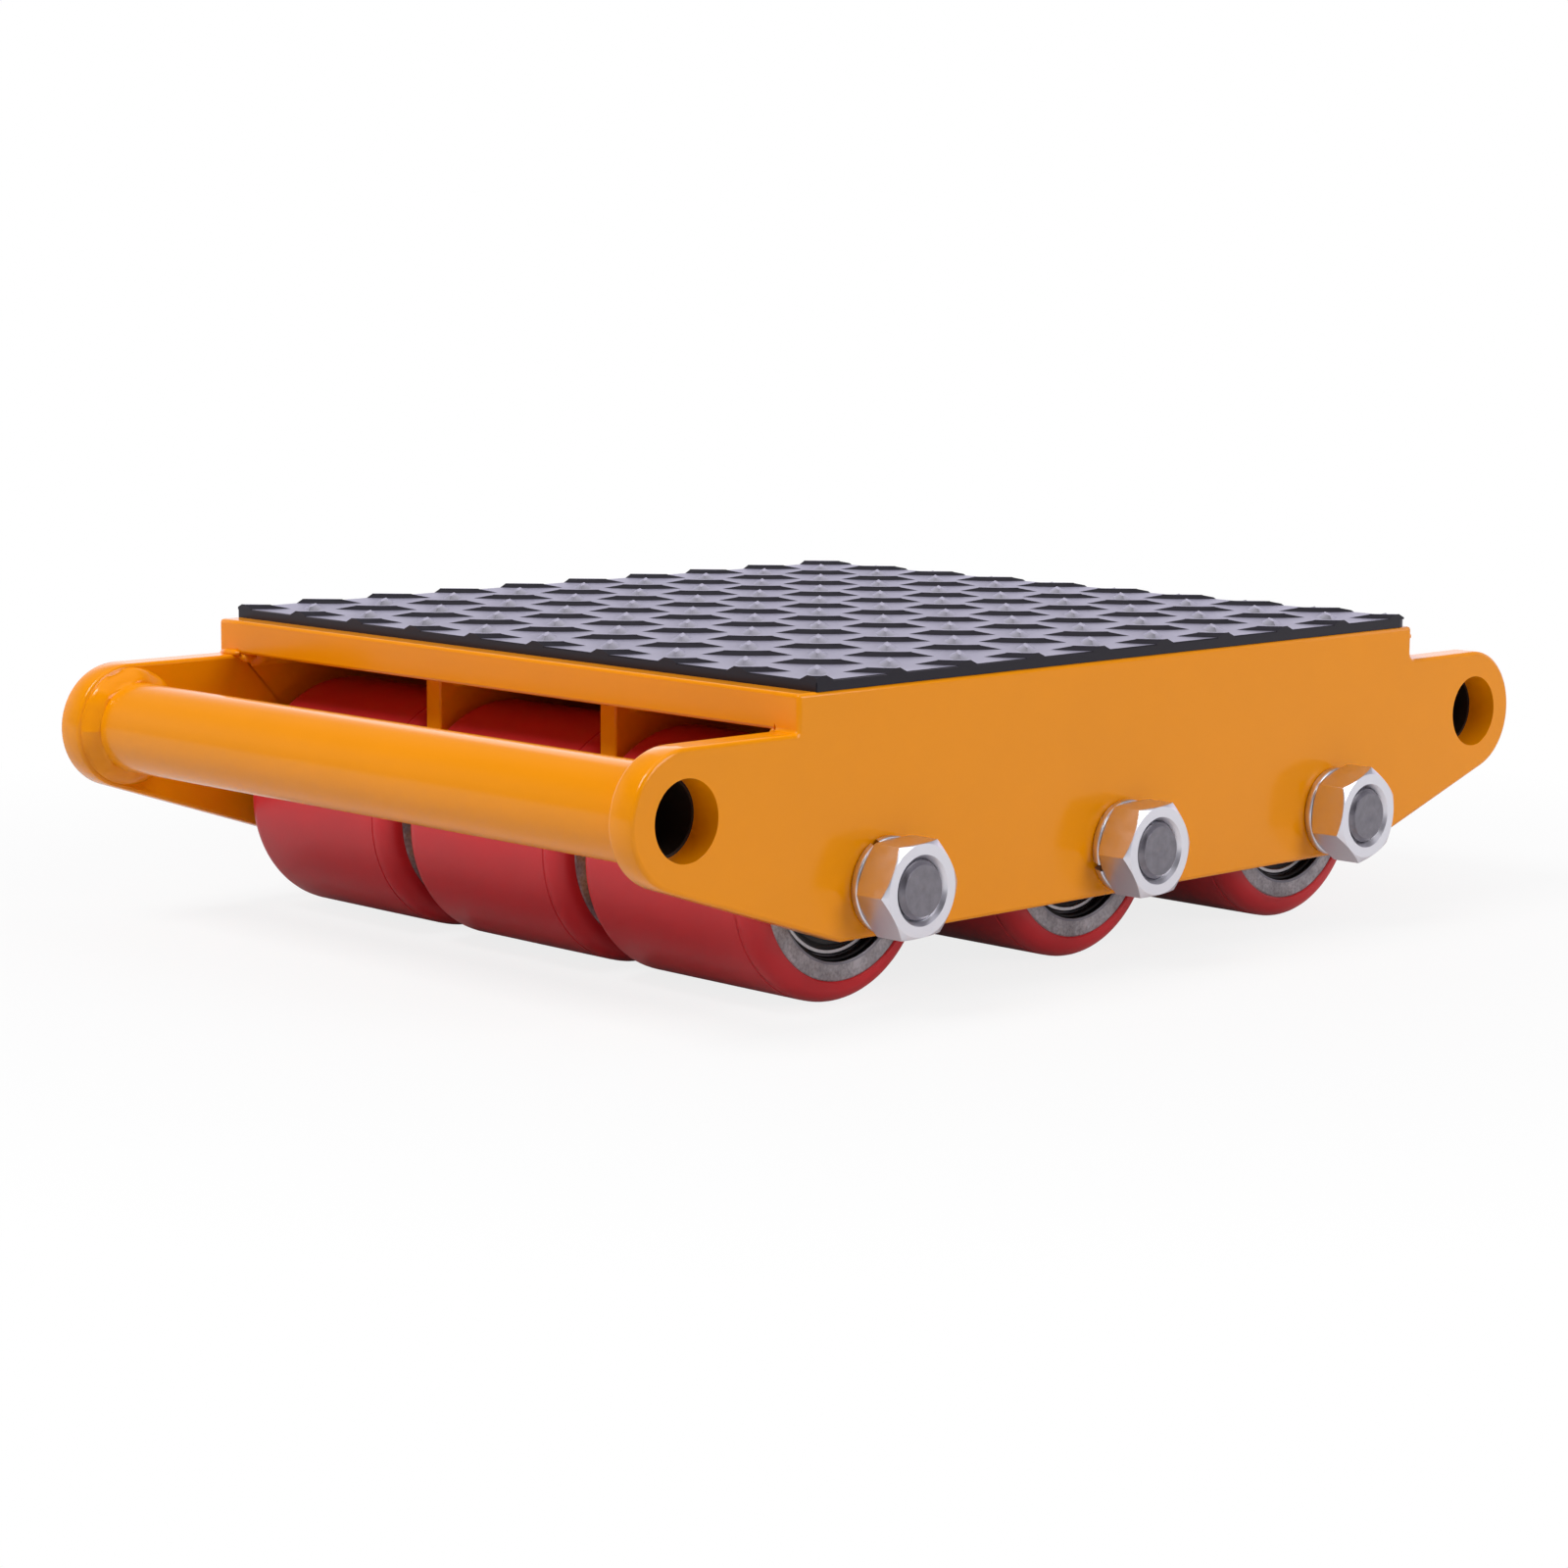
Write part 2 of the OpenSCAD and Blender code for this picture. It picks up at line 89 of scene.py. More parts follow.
ROWS = ("front", "middle", "rear")
COLUMNS = ("left", "centre", "right")
# Middles of the axles, from front to rear.
AXLES = [Vector((0.0, y, 41.5)) for y in (-115.0, 0.0, 115.0)]
COLUMN_PITCH = 91.5
BOLT_R = 10.0
BOLT_HOLE_R = 10.25
HEX_R = 15.0
SPLIT_GAP = 2.6

ROLLER_HALF = 41.0
TYRE_R = 41.5
CORE_R = 34.0
SHOULDER_R = 6.5
MOULD_LINE_X = 33.0
BEARING_OUT = 36.8
BEARING_IN = 21.8
BEARING_R = 26.0
RACE_BORE_R = 22.0
SEAL_R = 24.1
GROOVE_R = 28.44
LIP_R = 27.74
WIRE_R = 1.05
WIRE_PATH_R = 27.25
WIRE_GAP = 10.0

SHEET_T = 3.5
SHEET_CORNER_R = 5.0
SHEET_EDGE = 0.35
BAR_H = 1.45
BAR_PITCH = 32.7
BAR_START = 1.7

LAMP_TARGET = Vector((0.0, 0.0, 0.05))


def linear(hex_colour):
    """Linear red, green and blue of an sRGB hex colour."""
    parts = [int(hex_colour[i : i + 2], 16) / 255 for i in (1, 3, 5)]
    return [p / 12.92 if p <= 0.04045 else ((p + 0.055) / 1.055) ** 2.4 for p in parts]


def colour_property(name, description, hex_colour):
    """A colour that a user may change, with its default as sRGB hex."""
    return bpy.props.FloatVectorProperty(
        name=name, description=description, subtype="COLOR", min=0.0, max=1.0,
        default=linear(hex_colour),
    )


def length_property(name, description, millimetres):
    """A length that a user may change, with its default in millimetres."""
    return bpy.props.FloatProperty(
        name=name, description=description, unit="LENGTH", precision=5, min=0.0,
        default=millimetres * MM,
    )


class SkateColours(bpy.types.PropertyGroup):
    """Colours of the skate's finishes."""

    enamel: colour_property("Enamel", "Gloss paint on all plates and tubes", "#F19400")
    rubber: colour_property("Rubber", "Moulded tread mat", "#0C0C0D")
    urethane: colour_property("Urethane", "Cast tyres of the rollers", "#C82A31")
    zinc: colour_property("Zinc", "Plating of the nuts, washers and bolts", "#E4E3EA")
    cut_steel: colour_property("Cut steel", "Turned ends of the bolts and spacers", "#86838A")
    cast_steel: colour_property("Cast steel", "Rough faces of the roller cores", "#AAA7AC")
    race_steel: colour_property("Race steel", "Ground rings of the bearings", "#BAB7BA")
    black: colour_property("Black", "Seals and snap rings", "#161518")
    # Dark mill scale of the unpainted tube bores. The same dark colour is painted shade deep in the
    # bores and on the tube ends seen through the ear holes.
    scale_and_painted_shade: colour_property("Mill scale", "Unpainted bore of the tubes", "#241D17")
    floor: colour_property("Floor", "Pale studio floor", "#D8D8D8")


class SkateSizes(bpy.types.PropertyGroup):
    """Small shapes that the skate's solids leave plain."""

    plate_edge: length_property("Plate edge", "Rounding of the ground plate edges", 1.3)
    deck_edge: length_property("Deck edge", "Rounding of the deck's free edges", 1.1)
    hole_edge: length_property("Hole edge", "Rounding around the ear holes", 0.5)
    bead_leg: length_property("Bead leg", "Reach of the weld around a tube's end", 4.4)
    bead_ripple: length_property("Bead ripple", "Height of the ripples in a weld", 0.35)
    ripple_step: length_property("Ripple step", "Distance from one ripple to the next", 3.2)
    mould_groove: length_property("Mould line", "Depth of the line round a tyre", 0.35)
    bar_length: length_property("Bar length", "Length of a raised bar of the mat", 30.0)
    bar_width: length_property("Bar width", "Width of a raised bar of the mat", 7.0)
    nut_edge: length_property("Nut edge", "Rounding of the edges of nuts and heads", 0.25)


def sizes():
    """The small shapes' sizes, set in the panel."""
    return bpy.context.scene.skate_sizes


def colours():
    """The finishes' colours, set in the panel."""
    return bpy.context.scene.skate_colours


def add_node(tree, kind, inputs=None, to=None, **settings):
    """Adds a node with its settings and links, and gives the first of its outputs in use."""
    node = tree.nodes.new(kind)
    for key, value in settings.items():
        setattr(node, key, value)
    for key, value in (inputs or {}).items():
        if isinstance(value, bpy.types.NodeSocket):
            tree.links.new(value, node.inputs[key])
        else:
            node.inputs[key].default_value = value
    result = next((output for output in node.outputs if output.enabled), None)
    if to is not None:
        tree.links.new(result, to)
    return result


def empty_tree(owner):
    """Node tree of a material or a world, with nothing in it."""
    owner.use_nodes = True
    owner.node_tree.nodes.clear()
    return owner.node_tree


def start_material(name, colour, metallic, roughness, *patterns):
    """Plain material: gives it, its shader's inputs and its noise textures.

    Each pattern has the size of its features in millimetres, and its detail. A third
    value squeezes it that many times along X."""
    material = bpy.data.materials.new(name)
    tree = empty_tree(material)
    plain = {"Base Color": (*colour, 1.0), "Metallic": metallic, "Roughness": roughness}
    surface = add_node(tree, "ShaderNodeBsdfPrincipled", plain)
    add_node(tree, "ShaderNodeOutputMaterial", {"Surface": surface})
    place = add_node(tree, "ShaderNodeTexCoord").node.outputs["Object"]
    textures = []
    for size, detail, *squeeze in patterns:
        vector = place
        if squeeze:
            shrink = {"Vector": place, "Scale": (*squeeze, 1.0, 1.0)}
            vector = add_node(tree, "ShaderNodeMapping", shrink)
        features = {"Vector": vector, "Scale": 1.0 / (size * MM), "Detail": detail}
        textures.append(add_node(tree, "ShaderNodeTexNoise", features))
    return material, surface.node.inputs, textures


def vary(material, shader, tint=None, gloss=None, relief=None):
    """Lets a texture drive the colour, the gloss or the relief of a surface.

    The texture is followed by the factors of the darkest and the lightest shade, by the
    lowest and the highest roughness, or by the bumps' strength and height in millimetres."""
    tree = material.node_tree
    if tint:
        base = shader["Base Color"]
        red, green, blue, _ = base.default_value
        shades = {0: tint[0]}
        for socket, factor in zip((6, 7), tint[1:]):
            shades[socket] = (*[min(1.0, c * factor) for c in (red, green, blue)], 1.0)
        add_node(tree, "ShaderNodeMix", shades, base, data_type="RGBA")
    if gloss:
        levels = {"Value": gloss[0], "To Min": gloss[1], "To Max": gloss[2]}
        add_node(tree, "ShaderNodeMapRange", levels, shader["Roughness"])
    if relief:
        bumps = {"Height": relief[0], "Strength": relief[1], "Distance": relief[2] * MM}
        add_node(tree, "ShaderNodeBump", bumps, shader["Normal"])


def gloss_enamel():
    """Sprayed gloss enamel."""
    # A thick coat levels to a gloss with a faint orange peel about 2.5 mm across, and its
    # colour drifts a little where it is thinner.
    material, shader, (drift, peel) = start_material(
        "Gloss_enamel", colours().enamel, 0.0, 0.18, (60, 3.0), (2.5, 1.0)
    )
    shader["IOR"].default_value = 1.5
    shader["Specular IOR Level"].default_value = 0.27
    vary(material, shader, tint=(drift, 0.94, 1.05), gloss=(drift, 0.14, 0.22),
         relief=(peel, 0.12, 0.04))
    return material


def moulded_rubber():
    """Rubber sheet from a steel mould."""
    # Black, with a violet-grey sheen at low angles over a fine grain.
    material, shader, (grain, bloom) = start_material(
        "Moulded_rubber", colours().rubber, 0.0, 0.3, (0.8, 2.0), (35, 4.0)
    )
    shader["IOR"].default_value = 1.4
    shader["Specular Tint"].default_value = (0.88, 0.8, 1.0, 1.0)
    shader["Sheen Weight"].default_value = 0.95
    shader["Sheen Roughness"].default_value = 0.3
    shader["Sheen Tint"].default_value = (0.8, 0.77, 1.0, 1.0)
    # The grain is about 0.2 mm, drawn at 0.8 mm so that it shows.
    vary(material, shader, gloss=(bloom, 0.26, 0.34), relief=(grain, 0.06, 0.05))
    return material


def cast_urethane():
    """Cast polyurethane, turned after casting."""
    # Satin, with faint cloudy colour and very fine turning marks around the tyre.
    material, shader, (cloud, marks) = start_material(
        "Cast_urethane", colours().urethane, 0.0, 0.36, (25, 4.0), (28, 1.0, 40.0)
    )
    shader["IOR"].default_value = 1.5
    shader["Specular IOR Level"].default_value = 0.38
    # The marks are about 0.1 mm apart, drawn at 0.7 mm: 28 mm squeezed 40 times along X.
    vary(material, shader, tint=(cloud, 0.92, 1.14), gloss=(cloud, 0.3, 0.44),
         relief=(marks, 0.12, 0.03))
    return material


def zinc_plate():
    """Bright zinc plating on forged steel."""
    # Shiny, with soft dents and a slightly uneven gloss.
    material, shader, (dents,) = start_material("Zinc_plate", colours().zinc, 1.0, 0.22, (4, 3.0))
    vary(material, shader, gloss=(dents, 0.26, 0.42), relief=(dents, 0.25, 0.08))
    return material


def cut_steel():
    """Sawn and turned steel."""
    # Duller and greyer than the plating beside it, with small blotches.
    material, shader, (blotch,) = start_material("Cut_steel", colours().cut_steel, 1.0, 0.42, (3, 5.0))
    vary(material, shader, tint=(blotch, 0.7, 1.25), relief=(blotch, 0.3, 0.06))
    return material


def cast_steel():
    """Sand-cast steel."""
    # The cast skin is a mottled grey with pits of about 1 mm, rough to the light.
    material, shader, (pits, stains) = start_material(
        "Cast_steel", colours().cast_steel, 0.4, 0.5, (1.1, 6.0), (7, 5.0)
    )
    tree = material.node_tree
    mottle = add_node(tree, "ShaderNodeMath", {0: pits, 1: stains}, operation="MULTIPLY")
    spread = {"Value": mottle, "From Min": 0.12, "From Max": 0.38}
    spread = add_node(tree, "ShaderNodeMapRange", spread)
    vary(material, shader, tint=(spread, 0.6, 1.25), relief=(pits, 0.6, 0.25))
    return material


def race_steel():
    """Ground bearing steel."""
    # Smooth and bright, with light rust-grey staining.
    material, shader, (stains,) = start_material(
        "Race_steel", colours().race_steel, 1.0, 0.32, (2.2, 4.0)
    )
    vary(material, shader, tint=(stains, 0.6, 1.25), gloss=(stains, 0.22, 0.46))
    return material


def scale_and_painted_shade():
    """Mill scale in the unpainted bore of a hot-rolled tube, darkened as painted shade deep in the
    bore.
    """
    # Dark, with duller patches. The darkness is partly the scale's own colour and partly painted shade
    # for the deep bore and for the tube ends seen through the ear holes.
    material, shader, (patches,) = start_material(
        "Scale_and_painted_shade", colours().scale_and_painted_shade, 0.3, 0.55, (6, 4.0)
    )
    vary(material, shader, tint=(patches, 0.7, 1.4))
    return material


def nitrile_seal():
    """Moulded nitrile rubber."""
    # Matt black with a fine grain.
    material, shader, (grain,) = start_material("Nitrile_seal", colours().black, 0.0, 0.5, (0.9, 2.0))
    vary(material, shader, gloss=(grain, 0.42, 0.6))
    return material


def black_spring_wire():
    """Phosphated spring wire."""
    # A thin crystal skin, near black and a little rough, with dull metal below.
    material, shader, (skin,) = start_material(
        "Black_spring_wire", colours().black, 0.6, 0.42, (1.0, 4.0)
    )
    vary(material, shader, gloss=(skin, 0.32, 0.52))
    return material


FINISHES = {
    "orange_paint": gloss_enamel,
    "black_rubber": moulded_rubber,
    "red_urethane": cast_urethane,
    "zinc_steel": zinc_plate,
    "turned_steel": cut_steel,
    "cast_core_steel": cast_steel,
    "bearing_steel": race_steel,
    "scale_and_painted_shade": scale_and_painted_shade,
    "seal": nitrile_seal,
    "black_spring_steel": black_spring_wire,
}
made_finishes = {}


def finish_of(key):
    """The material of a finish, made the first time it is asked for."""
    if key not in made_finishes:
        made_finishes[key] = FINISHES[key]()
    return made_finishes[key]


def in_scene(name, data):
    """New object of the scene."""
    made = bpy.data.objects.new(name, data)
    bpy.context.scene.collection.objects.link(made)
    return made


def add_piece(bm, name, slot, stands_for, body="frame", extra=(), flat="x", sharp=38.0):
    """Closes a mesh in millimetres, takes it to metres and adds it as a piece of the skate.

    Faces square to the axes in flat and large many-sided faces stay flat, and all others
    are shaded round."""
    bmesh.ops.remove_doubles(bm, verts=bm.verts, dist=MERGE)
    bmesh.ops.recalc_face_normals(bm, faces=bm.faces)
    bm.normal_update()
    round_face = []
    for face in bm.faces:
        n = face.normal
        square = max(abs(getattr(n, axis)) for axis in flat) if flat else 0.0
        wide = len(face.verts) > 4 and face.calc_area() > 3.0
        round_face.append(square < 0.9999 and not wide)
    bmesh.ops.scale(bm, vec=(MM, MM, MM), verts=bm.verts)
    mesh = bpy.data.meshes.new(name)
    bm.to_mesh(mesh)
    bm.free()
    mesh.set_sharp_from_angle(angle=math.radians(sharp))
    mesh.polygons.foreach_set("use_smooth", round_face)
    for key in (slot, *extra):
        mesh.materials.append(finish_of(key))
    piece = in_scene(name, mesh)
    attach(piece, body)
    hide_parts(*stands_for)
    return piece


def joined(bm, part, place=(0, 0, 0)):
    """Adds a part to a mesh at a place, and lets the part go."""
    bmesh.ops.translate(part, vec=place, verts=part.verts)
    mesh = bpy.data.meshes.new("part")
    part.to_mesh(mesh)
    part.free()
    bm.from_mesh(mesh)
    bpy.data.meshes.remove(mesh)


def add_pair(plate, name, node):
    """Adds a plate on the right and its mirror image on the left, and lets the plate go."""
    for side, way in (("right", 1), ("left", -1)):
        bm = plate.copy()
        bmesh.ops.scale(bm, vec=(way, 1, 1), verts=bm.verts)
        add_piece(bm, f"{name}_{side}", "orange_paint", (f"{node}_{side}",), flat="xyz")
    plate.free()


def add_to_rollers(whole, name, node, slot, **looks):
    """Adds a copy of a mesh to each roller, and lets the mesh go."""
    for at, spot, _ in each_roller():
        bm = whole.copy()
        bmesh.ops.translate(bm, vec=spot, verts=bm.verts)
        add_piece(bm, f"{name}_{at}", slot, (f"{node}_{at}",), f"roller_{at}", **looks)
    whole.free()


def close_ends(bm):
    """Closes the open ends of a swept mesh."""
    bmesh.ops.holes_fill(bm, edges=[e for e in bm.edges if e.is_boundary], sides=0)


def turned(profile, steps=96, closed=True, start=0.0, sweep=TURN, material=0):
    """Mesh turned about the X axis from a profile of (x, radius) points."""
    bm = bmesh.new()
    points = [bm.verts.new((x, 0.0, r)) for x, r in profile]
    chain = points + points[:1] if closed else points
    edges = [bm.edges.new(pair) for pair in zip(chain, chain[1:])]
    bmesh.ops.rotate(bm, cent=(0, 0, 0), matrix=Matrix.Rotation(start, 3, "X"), verts=points)
    full = abs(sweep - TURN) < 1e-6
    bmesh.ops.spin(
        bm, geom=points + edges, cent=(0, 0, 0), axis=(1, 0, 0), angle=sweep, steps=steps,
        use_merge=full,
    )
    if not full:
        close_ends(bm)
    for face in bm.faces:
        face.material_index = material
    return bm


def arc(across, up, radius, first, last, count):
    """Points of an arc round a middle in a profile or outline, its angles in degrees."""
    angles = [math.radians(first + (last - first) * i / count) for i in range(count + 1)]
    return [(across + radius * math.cos(a), up + radius * math.sin(a)) for a in angles]


def both_ends(half):
    """Profile made whole by its mirror image at the other end."""
    return half + [(-x, r) for x, r in reversed(half)]


def cut_plate(outline, holes, x_low, x_high):
    """Plate of an outline in (y, z) with round holes (y, z, radius), between two x planes."""
    bm = bmesh.new()
    rim = [bm.verts.new((x_low, y, z)) for y, z in outline]
    edges = [bm.edges.new(pair) for pair in zip(rim, rim[1:] + rim[:1])]
    for y, z, radius in holes:
        place = Matrix.Translation((x_low, y, z)) @ Matrix.Rotation(TURN / 4, 4, "Y")
        made = bmesh.ops.create_circle(bm, segments=64, radius=radius, matrix=place)
        edges += list({e for v in made["verts"] for e in v.link_edges})
    bmesh.ops.triangle_fill(bm, use_beauty=True, edges=edges, normal=(1, 0, 0))
    made = bmesh.ops.extrude_face_region(bm, geom=list(bm.faces))
    moved = only(bmesh.types.BMVert, made["geom"])
    bmesh.ops.translate(bm, vec=(x_high - x_low, 0, 0), verts=moved)
    bmesh.ops.recalc_face_normals(bm, faces=bm.faces)
    return bm


def round_edges(bm, wanted, radius, segments=3):
    """Rounds the edges that the test picks."""
    edges = [e for e in bm.edges if len(e.link_faces) == 2 and wanted(e)]
    bmesh.ops.bevel(
        bm, geom=edges, offset=radius, offset_type="OFFSET", segments=segments, profile=0.5,
        affect="EDGES", clamp_overlap=True, material=-1,
    )


def add_block(bm, low, high):
    """Adds a block between its lowest and its highest corner."""
    place = Matrix.Translation((low + high) / 2) @ Matrix.Diagonal((*(high - low), 1.0))
    bmesh.ops.create_cube(bm, size=1.0, matrix=place)


def only(kind, geometry):
    """The vertices, edges or faces alone of what an operator gives."""
    return [part for part in geometry if isinstance(part, kind)]


def cut_off(bm, place, normal):
    """Cuts off what lies beyond a plane, and gives the edges around the cut."""
    whole = [*bm.verts, *bm.edges, *bm.faces]
    cut = bmesh.ops.bisect_plane(
        bm, geom=whole, dist=1e-5, plane_co=place, plane_no=normal, clear_outer=True
    )
    return only(bmesh.types.BMEdge, cut["geom_cut"])


def is_rim(edge, x):
    """Whether an edge lies on the plate face at x and borders the plate's side wall."""
    if any(abs(v.co.x - x) > 1e-4 for v in edge.verts):
        return False
    across = [abs(f.normal.x) for f in edge.link_faces]
    return max(across) > 0.99 and min(across) < 0.01


def by_hole(edge, holes):
    """Whether an edge of a plate runs round one of its holes."""
    middle = (edge.verts[0].co + edge.verts[1].co) / 2
    return any(abs((middle.yz - Vector((y, z))).length - r) < 0.5 for y, z, r in holes)


def half_outline(end, notch):
    """Outline of half a side plate in (y, z), for a deck that ends this far from the middle."""
    ear_top = EAR_Z + EAR_R
    reach = Vector((FOOT_Y - EAR_Y, PLATE_LOW.z - EAR_Z))
    touch = math.atan2(reach.y, reach.x) + math.acos(EAR_R / reach.length)
    ear = arc(EAR_Y, EAR_Z, EAR_R, math.degrees(touch) % 360, 450, 30)
    hollow = arc(end + notch, ear_top + notch, notch, 270, 180, 6)
    return [(FOOT_Y, PLATE_LOW.z)] + ear + hollow + [(end, DECK_HIGH.z)]


def side_outline():
    """Outline of a side plate in (y, z), from the ends of its foot round both ears."""
    front = half_outline(-DECK_LOW.y, NOTCH_FRONT_R)
    rear = half_outline(DECK_HIGH.y, NOTCH_REAR_R)
    return rear + [(-y, z) for y, z in reversed(front)]


def lumpy(point, size):
    """Smooth noise around zero with lumps of the given size in millimetres."""
    return noise.noise(Vector(point) / size)


class SKATE_OT_side_plates(bpy.types.Operator):
    """Cut both side plates with their ears and holes, and grind their edges round"""

    bl_idname = "skate.side_plates"
    bl_label = "Side plates"

    def execute(self, context):
        holes = [(s * EAR_Y, EAR_Z, EAR_HOLE_R) for s in (-1, 1)]
        holes += [(*axle.yz, BOLT_HOLE_R) for axle in AXLES]
        bm = cut_plate(side_outline(), holes, PLATE_IN, PLATE_OUT)

        def free_rim(e):
            if by_hole(e, holes):
                return False
            if is_rim(e, PLATE_OUT):
                return True
            # Inside, the rim stays sharp where the deck meets it.
            middle = (e.verts[0].co + e.verts[1].co) / 2
            on_deck = DECK_LOW.y - 0.01 <= middle.y <= DECK_HIGH.y + 0.01
            return is_rim(e, PLATE_IN) and not (on_deck and middle.z > DECK_LOW.z + 1.1)

        def deck_corner(e):
            low, high = sorted(e.verts, key=lambda v: v.co.x)
            across = (low.co - Vector((PLATE_IN, low.co.y, DECK_HIGH.z))).length < 1e-4
            end = min(abs(low.co.y - y) for y in (DECK_LOW.y, DECK_HIGH.y)) < 1e-4
            return across and end and abs(high.co.x - PLATE_OUT) < 1e-4

        round_edges(bm, lambda e: free_rim(e) or deck_corner(e), sizes().plate_edge / MM)
        round_edges(bm, lambda e: is_rim(e, PLATE_OUT), sizes().hole_edge / MM, 2)
        add_pair(bm, "plate", "side_plate")
        return {"FINISHED"}


class SKATE_OT_deck(bpy.types.Operator):
    """Lay the deck plate between the side plates, with its free edges rounded"""

    bl_idname = "skate.deck"
    bl_label = "Deck plate"

    def execute(self, context):
        bm = bmesh.new()
        add_block(bm, DECK_LOW, DECK_HIGH)

        def along_x(e):
            return abs(e.verts[0].co.x - e.verts[1].co.x) > 1.0

        round_edges(bm, along_x, sizes().deck_edge / MM)
        add_piece(bm, "deck", "orange_paint", ("deck_plate",), flat="xyz")
        return {"FINISHED"}


class SKATE_OT_dividers(bpy.types.Operator):
    """Stand the two divider plates between the roller columns"""

    bl_idname = "skate.dividers"
    bl_label = "Divider plates"

    def execute(self, context):
        low, high = DIVIDER_LOW, DIVIDER_HIGH
        outline = [(low.y, low.z), (high.y, low.z), (high.y, high.z), (low.y, high.z)]
        holes = [(*axle.yz, BOLT_HOLE_R) for axle in AXLES]
        bm = cut_plate(outline, holes, low.x, high.x)

        def free_rim(e):
            on_face = is_rim(e, low.x) or is_rim(e, high.x)
            below = (e.verts[0].co.z + e.verts[1].co.z) / 2 < high.z - 0.01
            return on_face and below and not by_hole(e, holes)

        round_edges(bm, free_rim, DIVIDER_EDGE)
        add_pair(bm, "divider_plate", "divider")
        return {"FINISHED"}


class SKATE_OT_tubes(bpy.types.Operator):
    """Turn the two cross tubes between the ears"""

    bl_idname = "skate.tubes"
    bl_label = "Cross tubes"

    def execute(self, context):
        profile = both_ends([(PLATE_IN, TUBE_BORE_R), (PLATE_IN, TUBE_R)])
        for end, name in ((-1, "front"), (1, "rear")):
            bm = turned(profile, steps=128)
            # The bore faces take the dark finish partly as unpainted steel and partly as painted shade
            # deep in the bore. The tube ends seen through the ear holes take it only as painted shade.
            for face in bm.faces:
                inside = max(v.co.yz.length for v in face.verts) < TUBE_BORE_R + 0.1
                if inside or abs(face.calc_center_median().x) > PLATE_IN - 0.1:
                    face.material_index = 1
            bmesh.ops.translate(bm, vec=(0, end * EAR_Y, EAR_Z), verts=bm.verts)
            add_piece(bm, f"tube_{name}", "orange_paint", (f"{name}_tube",),
                      extra=("scale_and_painted_shade",))
        return {"FINISHED"}


def collar_profile(leg):
    """Closed profile of a smooth corner bead between a tube and the ear at positive x."""
    root_x, root_r = PLATE_IN, TUBE_R
    sunk_x, sunk_r = root_x + 0.2, root_r - 0.4
    hollow, crown, count = 0.12, 0.35, 10
    points = [(root_x - leg, sunk_r)]
    for i in range(count + 1):
        t = i / count
        across = math.sin(TURN / 4 * t) * hollow + (1 - hollow) * t
        up = (1 - math.cos(TURN / 4 * t)) * hollow + (1 - hollow) * t
        swell = crown * math.sin(math.pi * t)
        points.append((root_x - leg * (1 - across) - swell, root_r + leg * up + swell))
    return points + [(sunk_x, root_r + leg), (sunk_x, sunk_r)]


def ripple_collar(bm, leg, seed, share):
    """Gives a turned bead its share of ripples, and its lumps, and keeps it on the ear."""
    root_x, root_r = PLATE_IN, TUBE_R
    ripple = sizes().bead_ripple / MM * share
    step = sizes().ripple_step / MM
    for v in bm.verts:
        radial = Vector((0, v.co.y, v.co.z))
        reach = radial.length
        if reach < root_r + 0.05 or v.co.x > root_x - 0.05:
            continue
        run = math.atan2(v.co.z, v.co.y) * (root_r + leg / 2)
        depth = min(reach - root_r, root_x - v.co.x) / leg
        lean = (reach - root_r) / leg * 1.6
        wave = abs(math.sin((run / step + lean) * math.pi)) - 0.5
        # Broad lumps of 9 mm, with fine ones of 4 mm on them.
        lump = lumpy((run, seed, 0), 9.0) * 1.1 + lumpy((run, seed, 5), 4.0) * 0.3
        swell = (wave * ripple + lump) * min(1.0, depth * 4 + 0.25)
        v.co += (radial.normalized() + Vector((-1, 0, 0))).normalized() * swell
        v.co.x = min(v.co.x, root_x)
        inward = min(1.0, (EAR_R - 0.1) / v.co.yz.length)
        v.co.yz = v.co.yz * inward


class SKATE_OT_tube_welds(bpy.types.Operator):
    """Run a rippled weld around both ends of each tube"""

    bl_idname = "skate.tube_welds"
    bl_label = "Tube welds"

    def execute(self, context):
        leg = sizes().bead_leg / MM
        bm = bmesh.new()
        for end, side in product((-1, 1), (-1, 1)):
            # At the left ends the bead is heavier and has no ripples.
            width, share = (1.12, 0.0) if side < 0 else (1.0, 1.0)
            collar = turned(collar_profile(leg * width), steps=220)
            ripple_collar(collar, leg, 17.0 * end + 31.0 * side, share)
            bmesh.ops.scale(collar, vec=(side, 1, 1), verts=collar.verts)
            joined(bm, collar, (0, end * EAR_Y, EAR_Z))
        add_piece(bm, "tube_beads", "orange_paint", ("tube_welds",), flat="", sharp=60)
        return {"FINISHED"}


